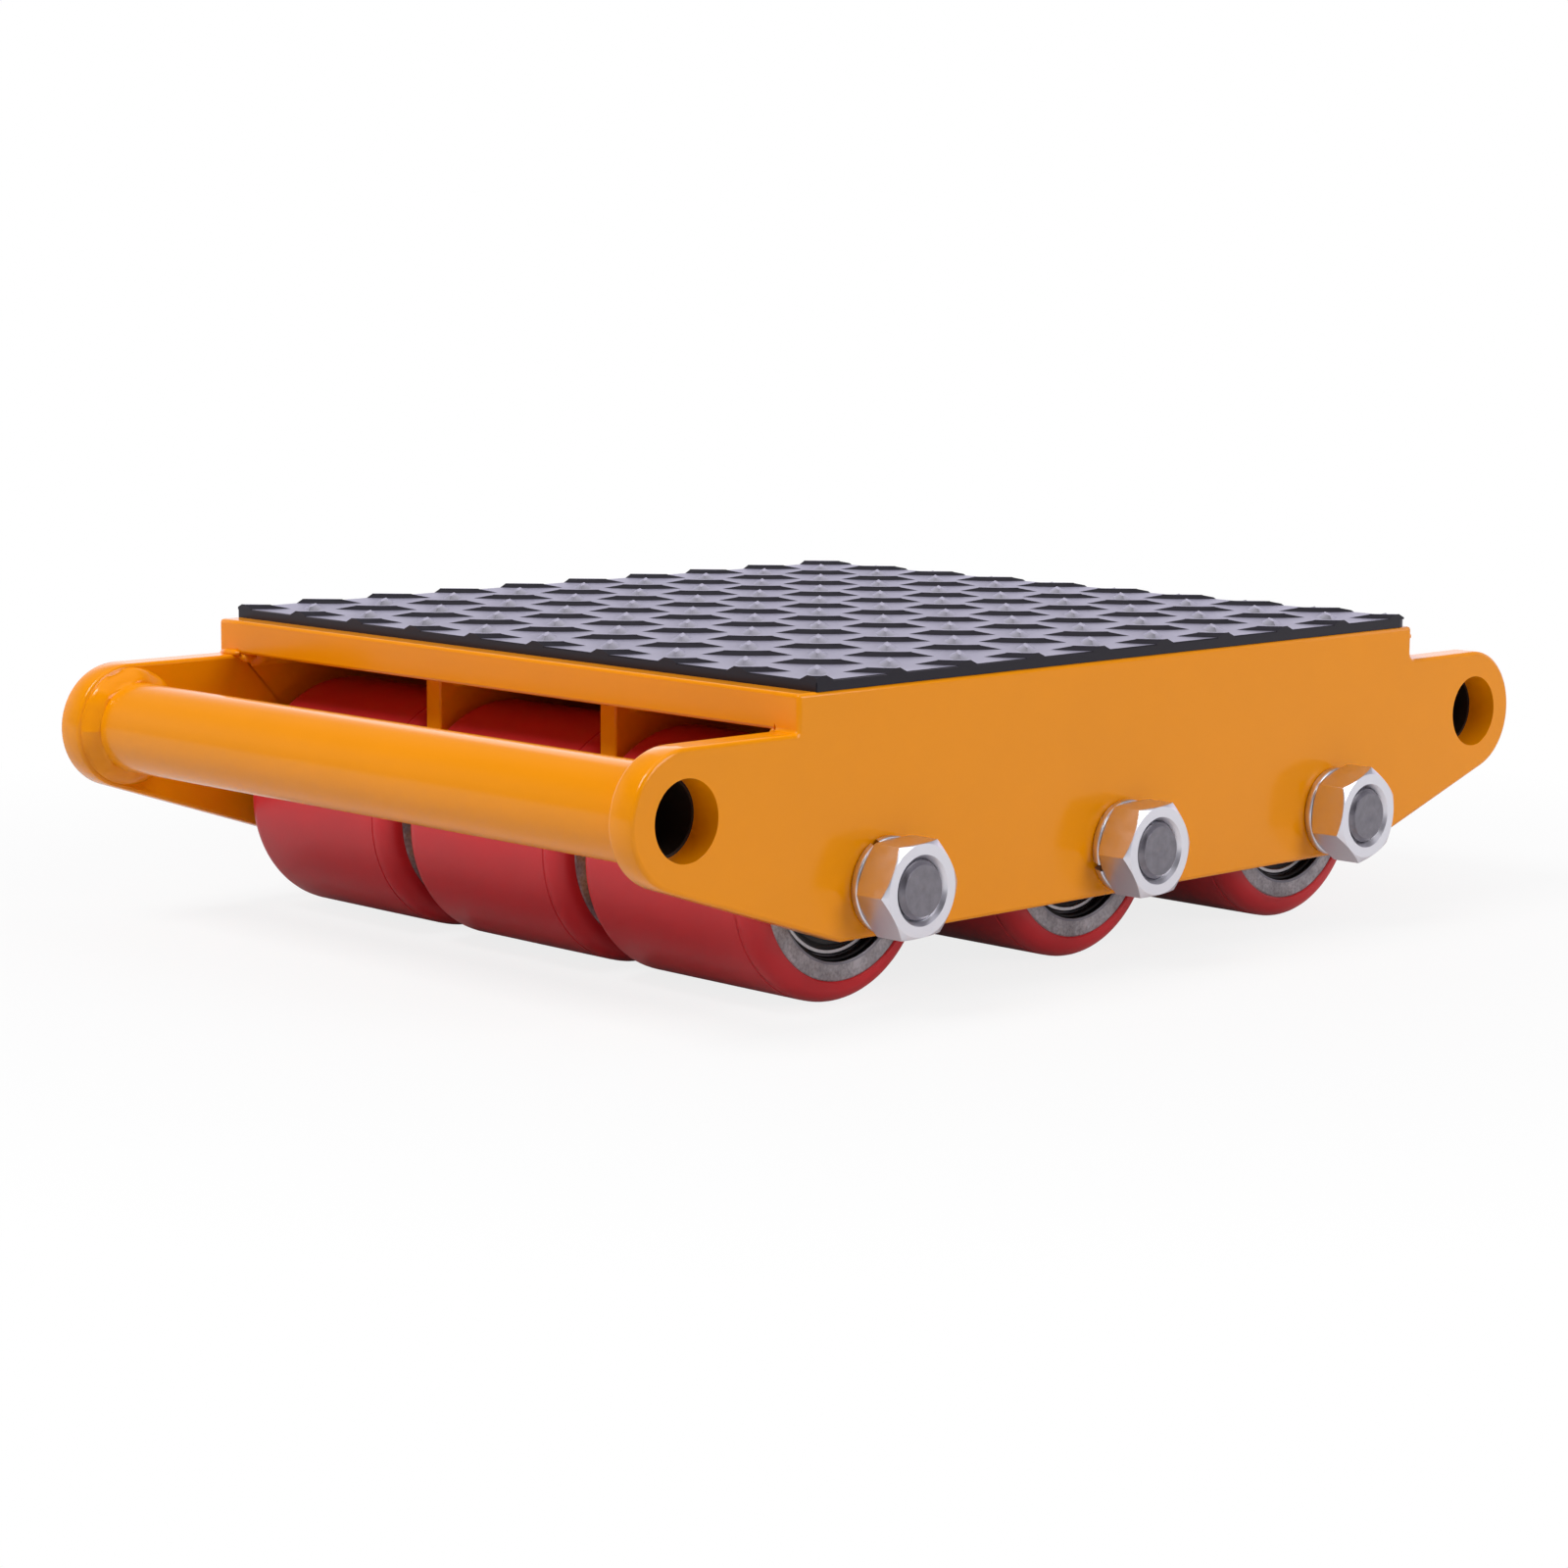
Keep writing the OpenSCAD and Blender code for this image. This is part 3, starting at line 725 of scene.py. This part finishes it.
def straight_bead(x, side, half_length, seed):
    """Rippled corner bead along Y between a plate's face at x and the deck above it."""
    leg = FRAME_BEAD_LEG
    ripple = sizes().bead_ripple / MM
    step = sizes().ripple_step / MM
    top = DECK_LOW.z
    sunk, crown, count, ring_gap = 0.2, 0.45, 5, 1.3
    section = [(x - side * sunk, top + sunk)]
    for i in range(count + 1):
        t = i / count
        swell = crown * math.sin(math.pi * t)
        section.append((x + side * (leg * (1 - t) + swell), top - leg * t - swell))
    bm = bmesh.new()
    points = [bm.verts.new((px, -half_length, pz)) for px, pz in section]
    edges = [bm.edges.new(pair) for pair in zip(points, points[1:] + points[:1])]
    steps = int(half_length * 2 / ring_gap)
    bmesh.ops.spin(
        bm, geom=points + edges, cent=(0, 0, 0), axis=(0, 1, 0), angle=0.0, steps=steps,
        dvec=(0, half_length * 2 / steps, 0),
    )
    close_ends(bm)
    for v in bm.verts:
        down = top - v.co.z
        away = abs(v.co.x - x)
        if down < 0.05 or away < 0.05:
            continue
        wave = abs(math.sin(v.co.y / step * math.pi + down / leg * 1.2)) - 0.5
        lump = lumpy((v.co.y, seed, 0), 8.0) * 0.7
        taper = min(1.0, (half_length - abs(v.co.y)) / 4 + 0.35)
        v.co += Vector((side, 0, -1)).normalized() * (wave * ripple + lump)
        v.co.x = x + (v.co.x - x) * taper
        v.co.z = top + (v.co.z - top) * taper
    return bm


def weld_lump(bm, place, span, seed):
    """Small ground lump of weld."""
    shape = Matrix.Diagonal((*span, 1.0))
    made = bmesh.ops.create_icosphere(bm, subdivisions=3, radius=1.0, matrix=shape)
    for v in made["verts"]:
        v.co += v.co.normalized() * lumpy(v.co + Vector((seed, 0, 0)), 2.5) * min(span) * 0.35
    bmesh.ops.translate(bm, vec=place, verts=made["verts"])


class SKATE_OT_frame_welds(bpy.types.Operator):
    """Run the welds under the deck, and the ground lumps at its corners"""

    bl_idname = "skate.frame_welds"
    bl_label = "Frame welds"

    def execute(self, context):
        bm = bmesh.new()
        short = 6.0
        deck_half = (DECK_HIGH.y - DECK_LOW.y) / 2 - short
        middle = (0, (DECK_HIGH.y + DECK_LOW.y) / 2, 0)
        divider_half = DIVIDER_HIGH.y - short
        for side in (-1, 1):
            joined(bm, straight_bead(side * PLATE_IN, -side, deck_half, 3.0 * side), middle)
            joined(bm, straight_bead(side * DIVIDER_HIGH.x, side, divider_half, 7.0 * side))
            joined(bm, straight_bead(side * DIVIDER_LOW.x, -side, divider_half, 11.0 * side))
        rear, front = DECK_HIGH.y, DECK_LOW.y
        # Each lump has its place, its half sizes and the seed of its shape.
        weld_lump(bm, (147.0, rear + 0.3, 101.2), (3.6, 1.5, 2.2), 1.0)
        weld_lump(bm, (-145.5, rear - 0.5, 99.0), (4.0, 1.3, 2.4), 2.0)
        weld_lump(bm, (-143.5, front - 0.6, 93.3), (5.5, 1.8, 1.4), 3.0)
        for side in (-1, 1):
            weld_lump(bm, (side * 138.6, front + 3.5, 92.0), (2.6, 3.8, 2.3), 5.0 + side)
            weld_lump(bm, (side * 138.6, rear - 3.5, 92.0), (2.6, 3.8, 2.3), 9.0 + side)
        add_piece(bm, "frame_beads", "orange_paint", ("frame_welds",), flat="", sharp=60)
        return {"FINISHED"}


def tread_bar(length, width):
    """One raised bar of the mat along X at the origin: a pointed foot and a narrow flat land."""
    bm = bmesh.new()
    land, land_width = length * 0.5, width * 0.24
    # Half length, half width, pointedness and height of each level, from the foot up.
    levels = [
        (length / 2, width / 2, 1.7, -0.6),
        (length / 2, width / 2, 1.7, 0.0),
        (land / 2 + 0.6, land_width / 2 + 0.35, 2.0, BAR_H - 0.22),
        (land / 2, land_width / 2, 2.0, BAR_H),
    ]
    turn = Matrix.Rotation(TURN / 4, 4, "Z")
    made = bmesh.ops.create_circle(bm, cap_ends=True, segments=16, radius=1.0, matrix=turn)
    ring = made["verts"]
    top = ring[0].link_faces[0]
    way = {v: v.co.copy() for v in ring}
    for number, (half_long, half_wide, power, z) in enumerate(levels):
        if number > 0:
            made = bmesh.ops.extrude_face_region(bm, geom=[top])
            if number > 1:
                bmesh.ops.delete(bm, geom=[top], context="FACES_ONLY")
            ring = only(bmesh.types.BMVert, made["geom"])
            top = only(bmesh.types.BMFace, made["geom"])[0]
            below = {v.co.xy.to_tuple(3): way[v] for v in old}
            way = {v: below[v.co.xy.to_tuple(3)] for v in ring}
        for v in ring:
            t = way[v].x
            y = half_wide * max(0.0, 1 - abs(t) ** power)
            v.co = Vector((half_long * t, math.copysign(y, way[v].y), z))
        old = ring
    return bm


class SKATE_OT_mat(bpy.types.Operator):
    """Mould the rubber tread mat with its crossing bars, and trim it to the deck"""

    bl_idname = "skate.mat"
    bl_label = "Tread mat"

    def execute(self, context):
        low, high = MAT_LOW, MAT_HIGH
        sheet_top = low.z + SHEET_T
        length = sizes().bar_length / MM
        pattern = tread_bar(length, sizes().bar_width / MM)
        bm = bmesh.new()
        reach = length / 2 * math.cos(TURN / 8)
        corner = Vector((high.x - BAR_START, low.y + BAR_START, sheet_top))
        across = range(-1, math.ceil((high.x - low.x) / BAR_PITCH) + 1)
        along = range(-1, math.ceil((high.y - low.y) / BAR_PITCH) + 1)
        for i, j, (half, turn) in product(across, along, ((0.0, 45), (0.5, 135))):
            spot = corner + Vector((-(i + half), j + half, 0)) * BAR_PITCH
            if low.x - reach < spot.x < high.x + reach and low.y - reach < spot.y < high.y + reach:
                bar = pattern.copy()
                way = Matrix.Rotation(math.radians(turn), 3, "Z")
                bmesh.ops.rotate(bar, cent=(0, 0, 0), matrix=way, verts=bar.verts)
                joined(bm, bar, spot)
        pattern.free()
        for side in ((-1, 0), (1, 0), (0, -1), (0, 1)):
            normal = Vector((*side, 0))
            rim = cut_off(bm, high if sum(side) > 0 else low, normal)
            bmesh.ops.holes_fill(bm, edges=rim, sides=0)
        # The sheet's walls stand just inside the cut ends of the bars.
        inset = Vector((0.03, 0.03, 0.0))
        far = Vector((high.x, high.y, sheet_top)) - inset
        sheet = bmesh.new()
        add_block(sheet, low + inset, far)

        def far_corner(e):
            return all((v.co.xy - far.xy).length < 0.01 for v in e.verts)

        def sheet_edge(e):
            upright = abs(e.verts[0].co.z - e.verts[1].co.z) > 1.0
            return upright or min(v.co.z for v in e.verts) > sheet_top - 0.01

        round_edges(sheet, far_corner, SHEET_CORNER_R, 5)
        round_edges(sheet, sheet_edge, SHEET_EDGE, 2)
        joined(bm, sheet)
        add_piece(bm, "tread_mat", "black_rubber", ("rubber_mat",), flat="xyz", sharp=50)
        return {"FINISHED"}


def each_roller():
    """Name, middle in millimetres and number of every roller."""
    for number, (row, column) in enumerate(product(range(3), range(3))):
        spot = AXLES[row] + Vector(((column - 1) * COLUMN_PITCH, 0, 0))
        yield f"{ROWS[row]}_{COLUMNS[column]}", spot, number


def tyre_profile():
    """Closed profile of a tyre: tread, one mould line, rounded shoulders and bore."""
    groove = sizes().mould_groove / MM
    tread_half = ROLLER_HALF - SHOULDER_R
    end = arc(tread_half, TYRE_R - SHOULDER_R, SHOULDER_R - 0.05, 90, 0, 10)
    end += [(ROLLER_HALF, CORE_R + 0.5), (ROLLER_HALF - 0.4, CORE_R + 0.02)]
    line = ((-0.35, 0.0), (-0.12, groove), (0.12, groove), (0.4, 0.12), (1.2, 0.06))
    line = [(MOULD_LINE_X + away, TYRE_R - depth) for away, depth in line]
    return [(0.0, TYRE_R)] + line + both_ends(end)


def core_profile():
    """Closed profile of a roller core: cast faces, lips, snap ring grooves and bearing seats."""
    top = CORE_R - 0.01
    face = ROLLER_HALF - 0.15
    seat = BEARING_R + 0.01
    groove = BEARING_OUT + 2.7
    half = [
        (face - 0.55, top), (face, top - 0.55), (face, LIP_R + 0.9), (face - 0.45, LIP_R),
        (groove, LIP_R), (groove, GROOVE_R), (BEARING_OUT, GROOVE_R),
        (BEARING_OUT, seat), (BEARING_IN, seat), (BEARING_IN, RACE_BORE_R),
    ]
    return [(0.0, top)] + both_ends(half)


class SKATE_OT_tyres(bpy.types.Operator):
    """Cast the nine urethane tyres"""

    bl_idname = "skate.tyres"
    bl_label = "Tyres"

    def execute(self, context):
        whole = turned(tyre_profile(), steps=160)
        add_to_rollers(whole, "urethane_tyre", "tyre", "red_urethane")
        return {"FINISHED"}


class SKATE_OT_cores(bpy.types.Operator):
    """Cast and bore the nine roller cores, each with its own rough skin"""

    bl_idname = "skate.cores"
    bl_label = "Roller cores"

    def execute(self, context):
        whole = turned(core_profile(), steps=160)
        for at, spot, number in each_roller():
            bm = whole.copy()
            for v in bm.verts:
                if v.co.yz.length > LIP_R + 0.5 and abs(v.co.x) > ROLLER_HALF - 0.3:
                    rough = lumpy(v.co + Vector((number * 50, 0, 0)), 3.0)
                    v.co.x -= math.copysign(0.12 + 0.12 * rough, v.co.x)
            for face in bm.faces:
                if max(v.co.yz.length for v in face.verts) < LIP_R + 1.0:
                    face.material_index = 1
            bmesh.ops.translate(bm, vec=spot, verts=bm.verts)
            add_piece(bm, f"roller_core_{at}", "cast_core_steel", (f"core_{at}",),
                      f"roller_{at}", extra=("turned_steel",), flat="")
        whole.free()
        return {"FINISHED"}


def sealed_bearing():
    """Outer ring with its two seals, around the origin."""
    face = (BEARING_OUT - BEARING_IN) / 2
    half = [
        (face - 1.7, RACE_BORE_R), (face - 1.7, SEAL_R), (face - 0.3, SEAL_R),
        (face, SEAL_R + 0.3), (face, BEARING_R - 0.6), (face - 0.5, BEARING_R - 0.1),
        (face - 1.0, BEARING_R),
    ]
    bm = turned(both_ends(half), steps=128)
    # A seal's depths behind the ring's face, at radii from its lip to its rim.
    seal = [
        (1.5, 14.4), (0.3, 14.4), (0.3, 15.2), (0.65, 15.6), (0.65, 17.0), (0.3, 17.5),
        (0.3, 22.4), (0.65, 22.9), (0.4, 23.5), (0.6, SEAL_R - 0.01), (1.5, SEAL_R - 0.01),
    ]
    for side in (-1, 1):
        placed = [(side * (face - depth), r) for depth, r in seal]
        joined(bm, turned(placed, steps=96, material=1))
    return bm


class SKATE_OT_bearings(bpy.types.Operator):
    """Press two sealed ball bearings into each roller"""

    bl_idname = "skate.bearings"
    bl_label = "Bearings"

    def execute(self, context):
        middle = (BEARING_OUT + BEARING_IN) / 2
        pair = bmesh.new()
        for side in (-1, 1):
            joined(pair, sealed_bearing(), (side * middle, 0, 0))
        add_to_rollers(pair, "sealed_bearings", "bearings", "bearing_steel", extra=("seal",))
        return {"FINISHED"}


class SKATE_OT_snap_rings(bpy.types.Operator):
    """Spring a round-wire snap ring into the groove beside each bearing"""

    bl_idname = "skate.snap_rings"
    bl_label = "Snap rings"

    def execute(self, context):
        wire = arc(0.0, WIRE_PATH_R, WIRE_R, 0, 330, 11)
        gap = WIRE_GAP / WIRE_PATH_R
        pair = bmesh.new()
        for side in (-1, 1):
            ring = turned(wire, steps=110, start=gap / 2, sweep=TURN - gap)
            joined(pair, ring, (side * (BEARING_OUT + WIRE_R), 0, 0))
        add_to_rollers(pair, "wire_rings", "snap_rings", "black_spring_steel", flat="")
        return {"FINISHED"}


def hexagon(x_low, x_high, turn, bore=None, chamfer_low=True):
    """Turned blank with chamfered ends and six milled flats, bored if a radius is given."""
    face_r = HEX_R * 0.995
    corner_r = HEX_R / math.cos(TURN / 12) + 0.3
    drop = (corner_r - face_r) * math.tan(math.radians(30))
    outer = [(x_high, face_r), (x_high - drop, corner_r)]
    if chamfer_low:
        outer += [(x_low + drop, corner_r), (x_low, face_r)]
    else:
        outer += [(x_low, corner_r)]
    if bore:
        mouth, depth = 1.4, 1.6
        inner = [(x_low, bore + mouth), (x_low + mouth, bore)]
        inner += [(x_high - depth, bore), (x_high, bore + mouth)]
        bm = turned(outer + inner)
    else:
        bm = turned([(x_high, 0.0)] + outer + [(x_low, 0.0)], closed=False)
    bmesh.ops.remove_doubles(bm, verts=bm.verts, dist=1e-4)
    for k in range(6):
        a = math.radians(turn + 30 + 60 * k)
        normal = Vector((0, math.cos(a), math.sin(a)))
        bmesh.ops.edgeloop_fill(bm, edges=cut_off(bm, normal * HEX_R, normal))
    bmesh.ops.recalc_face_normals(bm, faces=bm.faces)
    clear = (bore or 0.0) + 1.5

    def crisp(e):
        if any(v.co.yz.length < clear for v in e.verts):
            return False
        return e.calc_face_angle(0.0) > math.radians(40) and e.calc_length() > 0.05

    round_edges(bm, crisp, sizes().nut_edge / MM, 2)
    return bm


class SKATE_OT_nuts(bpy.types.Operator):
    """Mill the three axle nuts"""

    bl_idname = "skate.nuts"
    bl_label = "Axle nuts"

    def execute(self, context):
        low, high = box_mm("axle_nuts")
        bm = bmesh.new()
        # How many degrees each nut is turned, from front to rear.
        for axle, turn in zip(AXLES, (3.0, 3.0, 20.0)):
            joined(bm, hexagon(low.x, high.x, turn, bore=BOLT_R + 0.02), axle)
        add_piece(bm, "hex_nuts", "zinc_steel", ("axle_nuts",), sharp=32.0)
        return {"FINISHED"}


class SKATE_OT_bolts(bpy.types.Operator):
    """Forge and turn the three axle bolts"""

    bl_idname = "skate.bolts"
    bl_label = "Axle bolts"

    def execute(self, context):
        tip, pitch, thread_depth = 1.8, 2.5, 1.1
        seat = -PLATE_OUT - 3.0
        # How many degrees each head is turned, from front to rear.
        for row, (name, turn) in enumerate(zip(ROWS, (10.0, 34.0, 52.0))):
            low, high = box_mm(f"axle_bolt_{name}")
            bm = hexagon(-seat, -low.x, turn, chamfer_low=False)
            bmesh.ops.scale(bm, vec=(-1, 1, 1), verts=bm.verts)
            shank = [(seat - 1, 0.0), (seat - 1, BOLT_R)]
            x = PLATE_OUT - 8.0
            while x < high.x - tip - pitch:
                shank += [(x, BOLT_R), (x + pitch * 0.5, BOLT_R - thread_depth)]
                x += pitch
            chamfer = (high.x - tip, BOLT_R - 0.4)
            shank.append(chamfer)
            joined(bm, turned(shank, closed=False))
            rim = BOLT_R - tip
            face = [chamfer, (high.x - 1.0, rim + 0.5), (high.x - 0.1, rim + 0.1)]
            face += [(high.x, rim - 0.2), (high.x - 0.1, rim - 1.0), (high.x - 0.05, 4.5)]
            face += [(high.x - 0.05, 1.4), (high.x - 0.5, 0.0)]
            sawn = turned(face, closed=False, material=1)
            for v in sawn.verts:
                if v.co.yz.length < rim - 0.3:
                    v.co.x += 0.1 * lumpy(v.co + Vector((row * 9.0, 0, 0)), 2.5) - 0.05
            joined(bm, sawn)
            bmesh.ops.translate(bm, vec=AXLES[row], verts=bm.verts)
            add_piece(bm, f"hex_bolt_{name}", "zinc_steel", (f"axle_bolt_{name}",),
                      extra=("turned_steel",), sharp=32.0)
        return {"FINISHED"}


def ring_profile(x_low, x_high, inner, outer, edge):
    """Closed profile of a washer with chamfered corners, worn round outside."""
    worn = edge * 0.3
    return [
        (x_low, inner + edge), (x_low + edge, inner),
        (x_high - edge, inner), (x_high, inner + edge),
        (x_high, outer - edge), (x_high - worn, outer - worn), (x_high - edge, outer),
        (x_low + edge, outer), (x_low + worn, outer - worn), (x_low, outer - edge),
    ]


class SKATE_OT_washers(bpy.types.Operator):
    """Wind the split spring washers and punch the flat ones"""

    bl_idname = "skate.washers"
    bl_label = "Washers"

    def execute(self, context):
        low, high = box_mm("spring_washers")
        outer = (high.z - low.z) / 2
        gap = SPLIT_GAP / outer
        lean = math.radians(3.5)
        bm = bmesh.new()
        profile = ring_profile(low.x + 0.15, high.x - 0.15, BOLT_HOLE_R, outer - 0.05, 0.5)
        # Where each split stands, in degrees, from front to rear.
        for axle, split in zip(AXLES, (115.0, 202.0, 60.0)):
            start = math.radians(split - 90) + gap / 2
            coil = turned(profile, steps=110, start=start, sweep=TURN - gap)
            for v in coil.verts:
                turn = lean * (v.co.x - low.x - 2.0) / 2.0
                v.co = Matrix.Rotation(turn, 3, "X") @ v.co
            joined(bm, coil, axle)
        add_piece(bm, "split_washers", "zinc_steel", ("spring_washers",), sharp=50.0)
        low, high = box_mm("head_washers")
        outer = (high.z - low.z) / 2
        bm = bmesh.new()
        profile = ring_profile(low.x, high.x, BOLT_HOLE_R, outer, 0.4)
        for axle in AXLES:
            joined(bm, turned(profile, steps=110), axle)
        add_piece(bm, "flat_washers", "zinc_steel", ("head_washers",), sharp=50.0)
        return {"FINISHED"}


class SKATE_OT_hidden_steel(bpy.types.Operator):
    """Finish the spacers, inner rings and balls, which keep their solids"""

    bl_idname = "skate.hidden_steel"
    bl_label = "Spacers, rings and balls"

    def execute(self, context):
        for node, slot in (
            ("hub_spacers", "turned_steel"),
            ("side_spacers", "turned_steel"),
            ("inner_rings", "bearing_steel"),
            ("bearing_balls", "bearing_steel"),
        ):
            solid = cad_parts[node]
            solid.data.materials.clear()
            solid.data.materials.append(finish_of(slot))
        return {"FINISHED"}


def make_floor():
    """Pale floor that shows as white to the camera and still keeps the object's shadow."""
    bm = bmesh.new()
    bmesh.ops.create_grid(bm, x_segments=1, y_segments=1, size=6.0)
    mesh = bpy.data.meshes.new("studio_floor")
    bm.to_mesh(mesh)
    bm.free()
    floor = in_scene("studio_floor", mesh)
    material = bpy.data.materials.new("Pale_floor")
    tree = empty_tree(material)
    path = add_node(tree, "ShaderNodeLightPath").node.outputs
    place = add_node(tree, "ShaderNodeTexCoord").node.outputs["Object"]
    away = add_node(tree, "ShaderNodeVectorMath", {0: place}, operation="LENGTH")
    # The camera sees paper white that dims a little in the object's shadow, and shiny
    # pieces mirror a floor that is dark beneath the object. Each kind of ray has the
    # distances in metres over which its share of white grows, and both shares.
    share = None
    for ray, near, far, low, high in (
        ("Is Camera Ray", 0.14, 0.5, 0.82, 1.0),
        ("Is Glossy Ray", 0.16, 0.42, 0.05, 0.7),
        ("Is Transmission Ray", 0.14, 0.5, 0.82, 1.0),
    ):
        fade = {"Value": away, "From Min": near, "From Max": far, "To Min": low, "To Max": high}
        fade = add_node(tree, "ShaderNodeMapRange", fade)
        white = add_node(tree, "ShaderNodeMath", {0: path[ray], 1: fade}, operation="MULTIPLY")
        if share is not None:
            white = add_node(tree, "ShaderNodeMath", {0: share, 1: white}, operation="MAXIMUM")
        share = white
    paper = add_node(tree, "ShaderNodeBsdfDiffuse", {"Color": (*colours().floor, 1.0)})
    glow = add_node(tree, "ShaderNodeEmission", {"Color": (1, 1, 1, 1), "Strength": 1.0})
    mix = add_node(tree, "ShaderNodeMixShader", {0: share, 1: paper, 2: glow})
    add_node(tree, "ShaderNodeOutputMaterial", {"Surface": mix})
    mesh.materials.append(material)


def make_surroundings():
    """White backdrop behind the object, grey room in front of it, white to the camera."""
    world = bpy.data.worlds.new("Studio")
    bpy.context.scene.world = world
    tree = empty_tree(world)
    way = add_node(tree, "ShaderNodeTexCoord").node.outputs["Generated"]
    height = add_node(tree, "ShaderNodeSeparateXYZ", {"Vector": way}).node.outputs["Z"]
    backwards = (-0.7071, 0.7071, 0.0)
    behind = {0: way, 1: backwards}
    behind = add_node(tree, "ShaderNodeVectorMath", behind, operation="DOT_PRODUCT")
    # The backdrop's brightness, how far the room dims upwards, and the glow overhead, each
    # with what it depends on, where it starts and ends, and its first and last level.
    levels = []
    for value, near, far, low, high in (
        (behind, 0.1, 0.6, 0.3, 1.3),
        (height, 0.3, 0.55, 1.0, 0.2),
        (height, 0.75, 0.95, 0.0, 0.8),
    ):
        fade = {"Value": value, "From Min": near, "From Max": far, "To Min": low, "To Max": high}
        levels.append(add_node(tree, "ShaderNodeMapRange", fade))
    backdrop, ceiling, zenith = levels
    dimmed = add_node(tree, "ShaderNodeMath", {0: backdrop, 1: ceiling}, operation="MULTIPLY")
    room = add_node(tree, "ShaderNodeMath", {0: dimmed, 1: zenith}, operation="MAXIMUM")
    seen = add_node(tree, "ShaderNodeLightPath").node.outputs["Is Camera Ray"]
    strength = add_node(tree, "ShaderNodeMix", {0: seen, 2: room, 3: 1.0}, data_type="FLOAT")
    tint = {0: seen, 6: (0.93, 0.9, 1.0, 1.0), 7: (1.0, 1.0, 1.0, 1.0)}
    tint = add_node(tree, "ShaderNodeMix", tint, data_type="RGBA")
    sky = add_node(tree, "ShaderNodeBackground", {"Color": tint, "Strength": strength})
    add_node(tree, "ShaderNodeOutputWorld", {"Surface": sky})


def add_lamp(name, place, span, watts):
    """Square soft lamp that looks at the middle of the skate."""
    lamp = bpy.data.lights.new(name, "AREA")
    lamp.shape = "SQUARE"
    lamp.size = span
    lamp.energy = watts
    holder = in_scene(name, lamp)
    holder.location = place
    holder.rotation_euler = (LAMP_TARGET - Vector(place)).to_track_quat("-Z", "Y").to_euler()


def add_camera():
    """Camera fitted to the photograph's view."""
    yaw, pitch, roll = (math.radians(a) for a in (45.6997, -8.3591, 0.42))
    level = math.cos(pitch)
    ahead = Vector((-math.sin(yaw) * level, math.cos(yaw) * level, math.sin(pitch)))
    right = Vector((math.cos(yaw), math.sin(yaw), 0.0))
    lean = Matrix.Rotation(-roll, 3, ahead)
    right, up = lean @ right, lean @ right.cross(ahead)
    lens = bpy.data.cameras.new("Camera")
    lens.sensor_width = 36.0
    lens.lens = 36.0 * 3750.859 / 1600
    lens.clip_start = 0.01
    holder = in_scene("Camera", lens)
    turn = Matrix((right, up, -ahead)).transposed().to_4x4()
    holder.matrix_world = Matrix.Translation((0.948996, -0.938775, 0.241721)) @ turn
    bpy.context.scene.camera = holder


class SKATE_OT_studio(bpy.types.Operator):
    """Lay the floor, set the soft light and place the camera"""

    bl_idname = "skate.studio"
    bl_label = "Studio"

    def execute(self, context):
        make_floor()
        make_surroundings()
        add_lamp("Back", (-1.1, 1.1, 1.1), 1.2, 2.5)
        add_lamp("Front", (-0.2, -1.2, 1.75), 0.8, 29.0)
        add_lamp("Side", (1.75, 0.4, 1.0), 0.9, 16.0)
        add_camera()
        context.scene.view_settings.view_transform = "Standard"
        return {"FINISHED"}


class SKATE_PT_panel(bpy.types.Panel):
    """Sizes, colours and pieces of the skate"""

    bl_idname = "SKATE_PT_panel"
    bl_label = "Machine skate"
    bl_space_type = "VIEW_3D"
    bl_region_type = "UI"
    bl_category = "Skate"

    def draw(self, context):
        column = self.layout.column()
        for group in (context.scene.skate_sizes, context.scene.skate_colours):
            for key in group.__annotations__:
                column.prop(group, key)
        for step in STEPS:
            column.operator(step.bl_idname)


STEPS = (
    SKATE_OT_side_plates,
    SKATE_OT_deck,
    SKATE_OT_dividers,
    SKATE_OT_tubes,
    SKATE_OT_tube_welds,
    SKATE_OT_frame_welds,
    SKATE_OT_mat,
    SKATE_OT_tyres,
    SKATE_OT_cores,
    SKATE_OT_bearings,
    SKATE_OT_snap_rings,
    SKATE_OT_nuts,
    SKATE_OT_bolts,
    SKATE_OT_washers,
    SKATE_OT_hidden_steel,
    SKATE_OT_studio,
)
CLASSES = (SkateColours, SkateSizes, *STEPS, SKATE_PT_panel)


def register():
    """Makes the classes and their settings known to the program."""
    for made in CLASSES:
        bpy.utils.register_class(made)
    bpy.types.Scene.skate_colours = bpy.props.PointerProperty(type=SkateColours)
    bpy.types.Scene.skate_sizes = bpy.props.PointerProperty(type=SkateSizes)


def unregister():
    """Takes the classes and their settings away again."""
    del bpy.types.Scene.skate_sizes
    del bpy.types.Scene.skate_colours
    for made in reversed(CLASSES):
        bpy.utils.unregister_class(made)


def main():
    """Registers the classes and builds every group in order."""
    register()
    for step in STEPS:
        group, name = step.bl_idname.split(".")
        getattr(getattr(bpy.ops, group), name)()


if __name__ == "__main__":
    main()
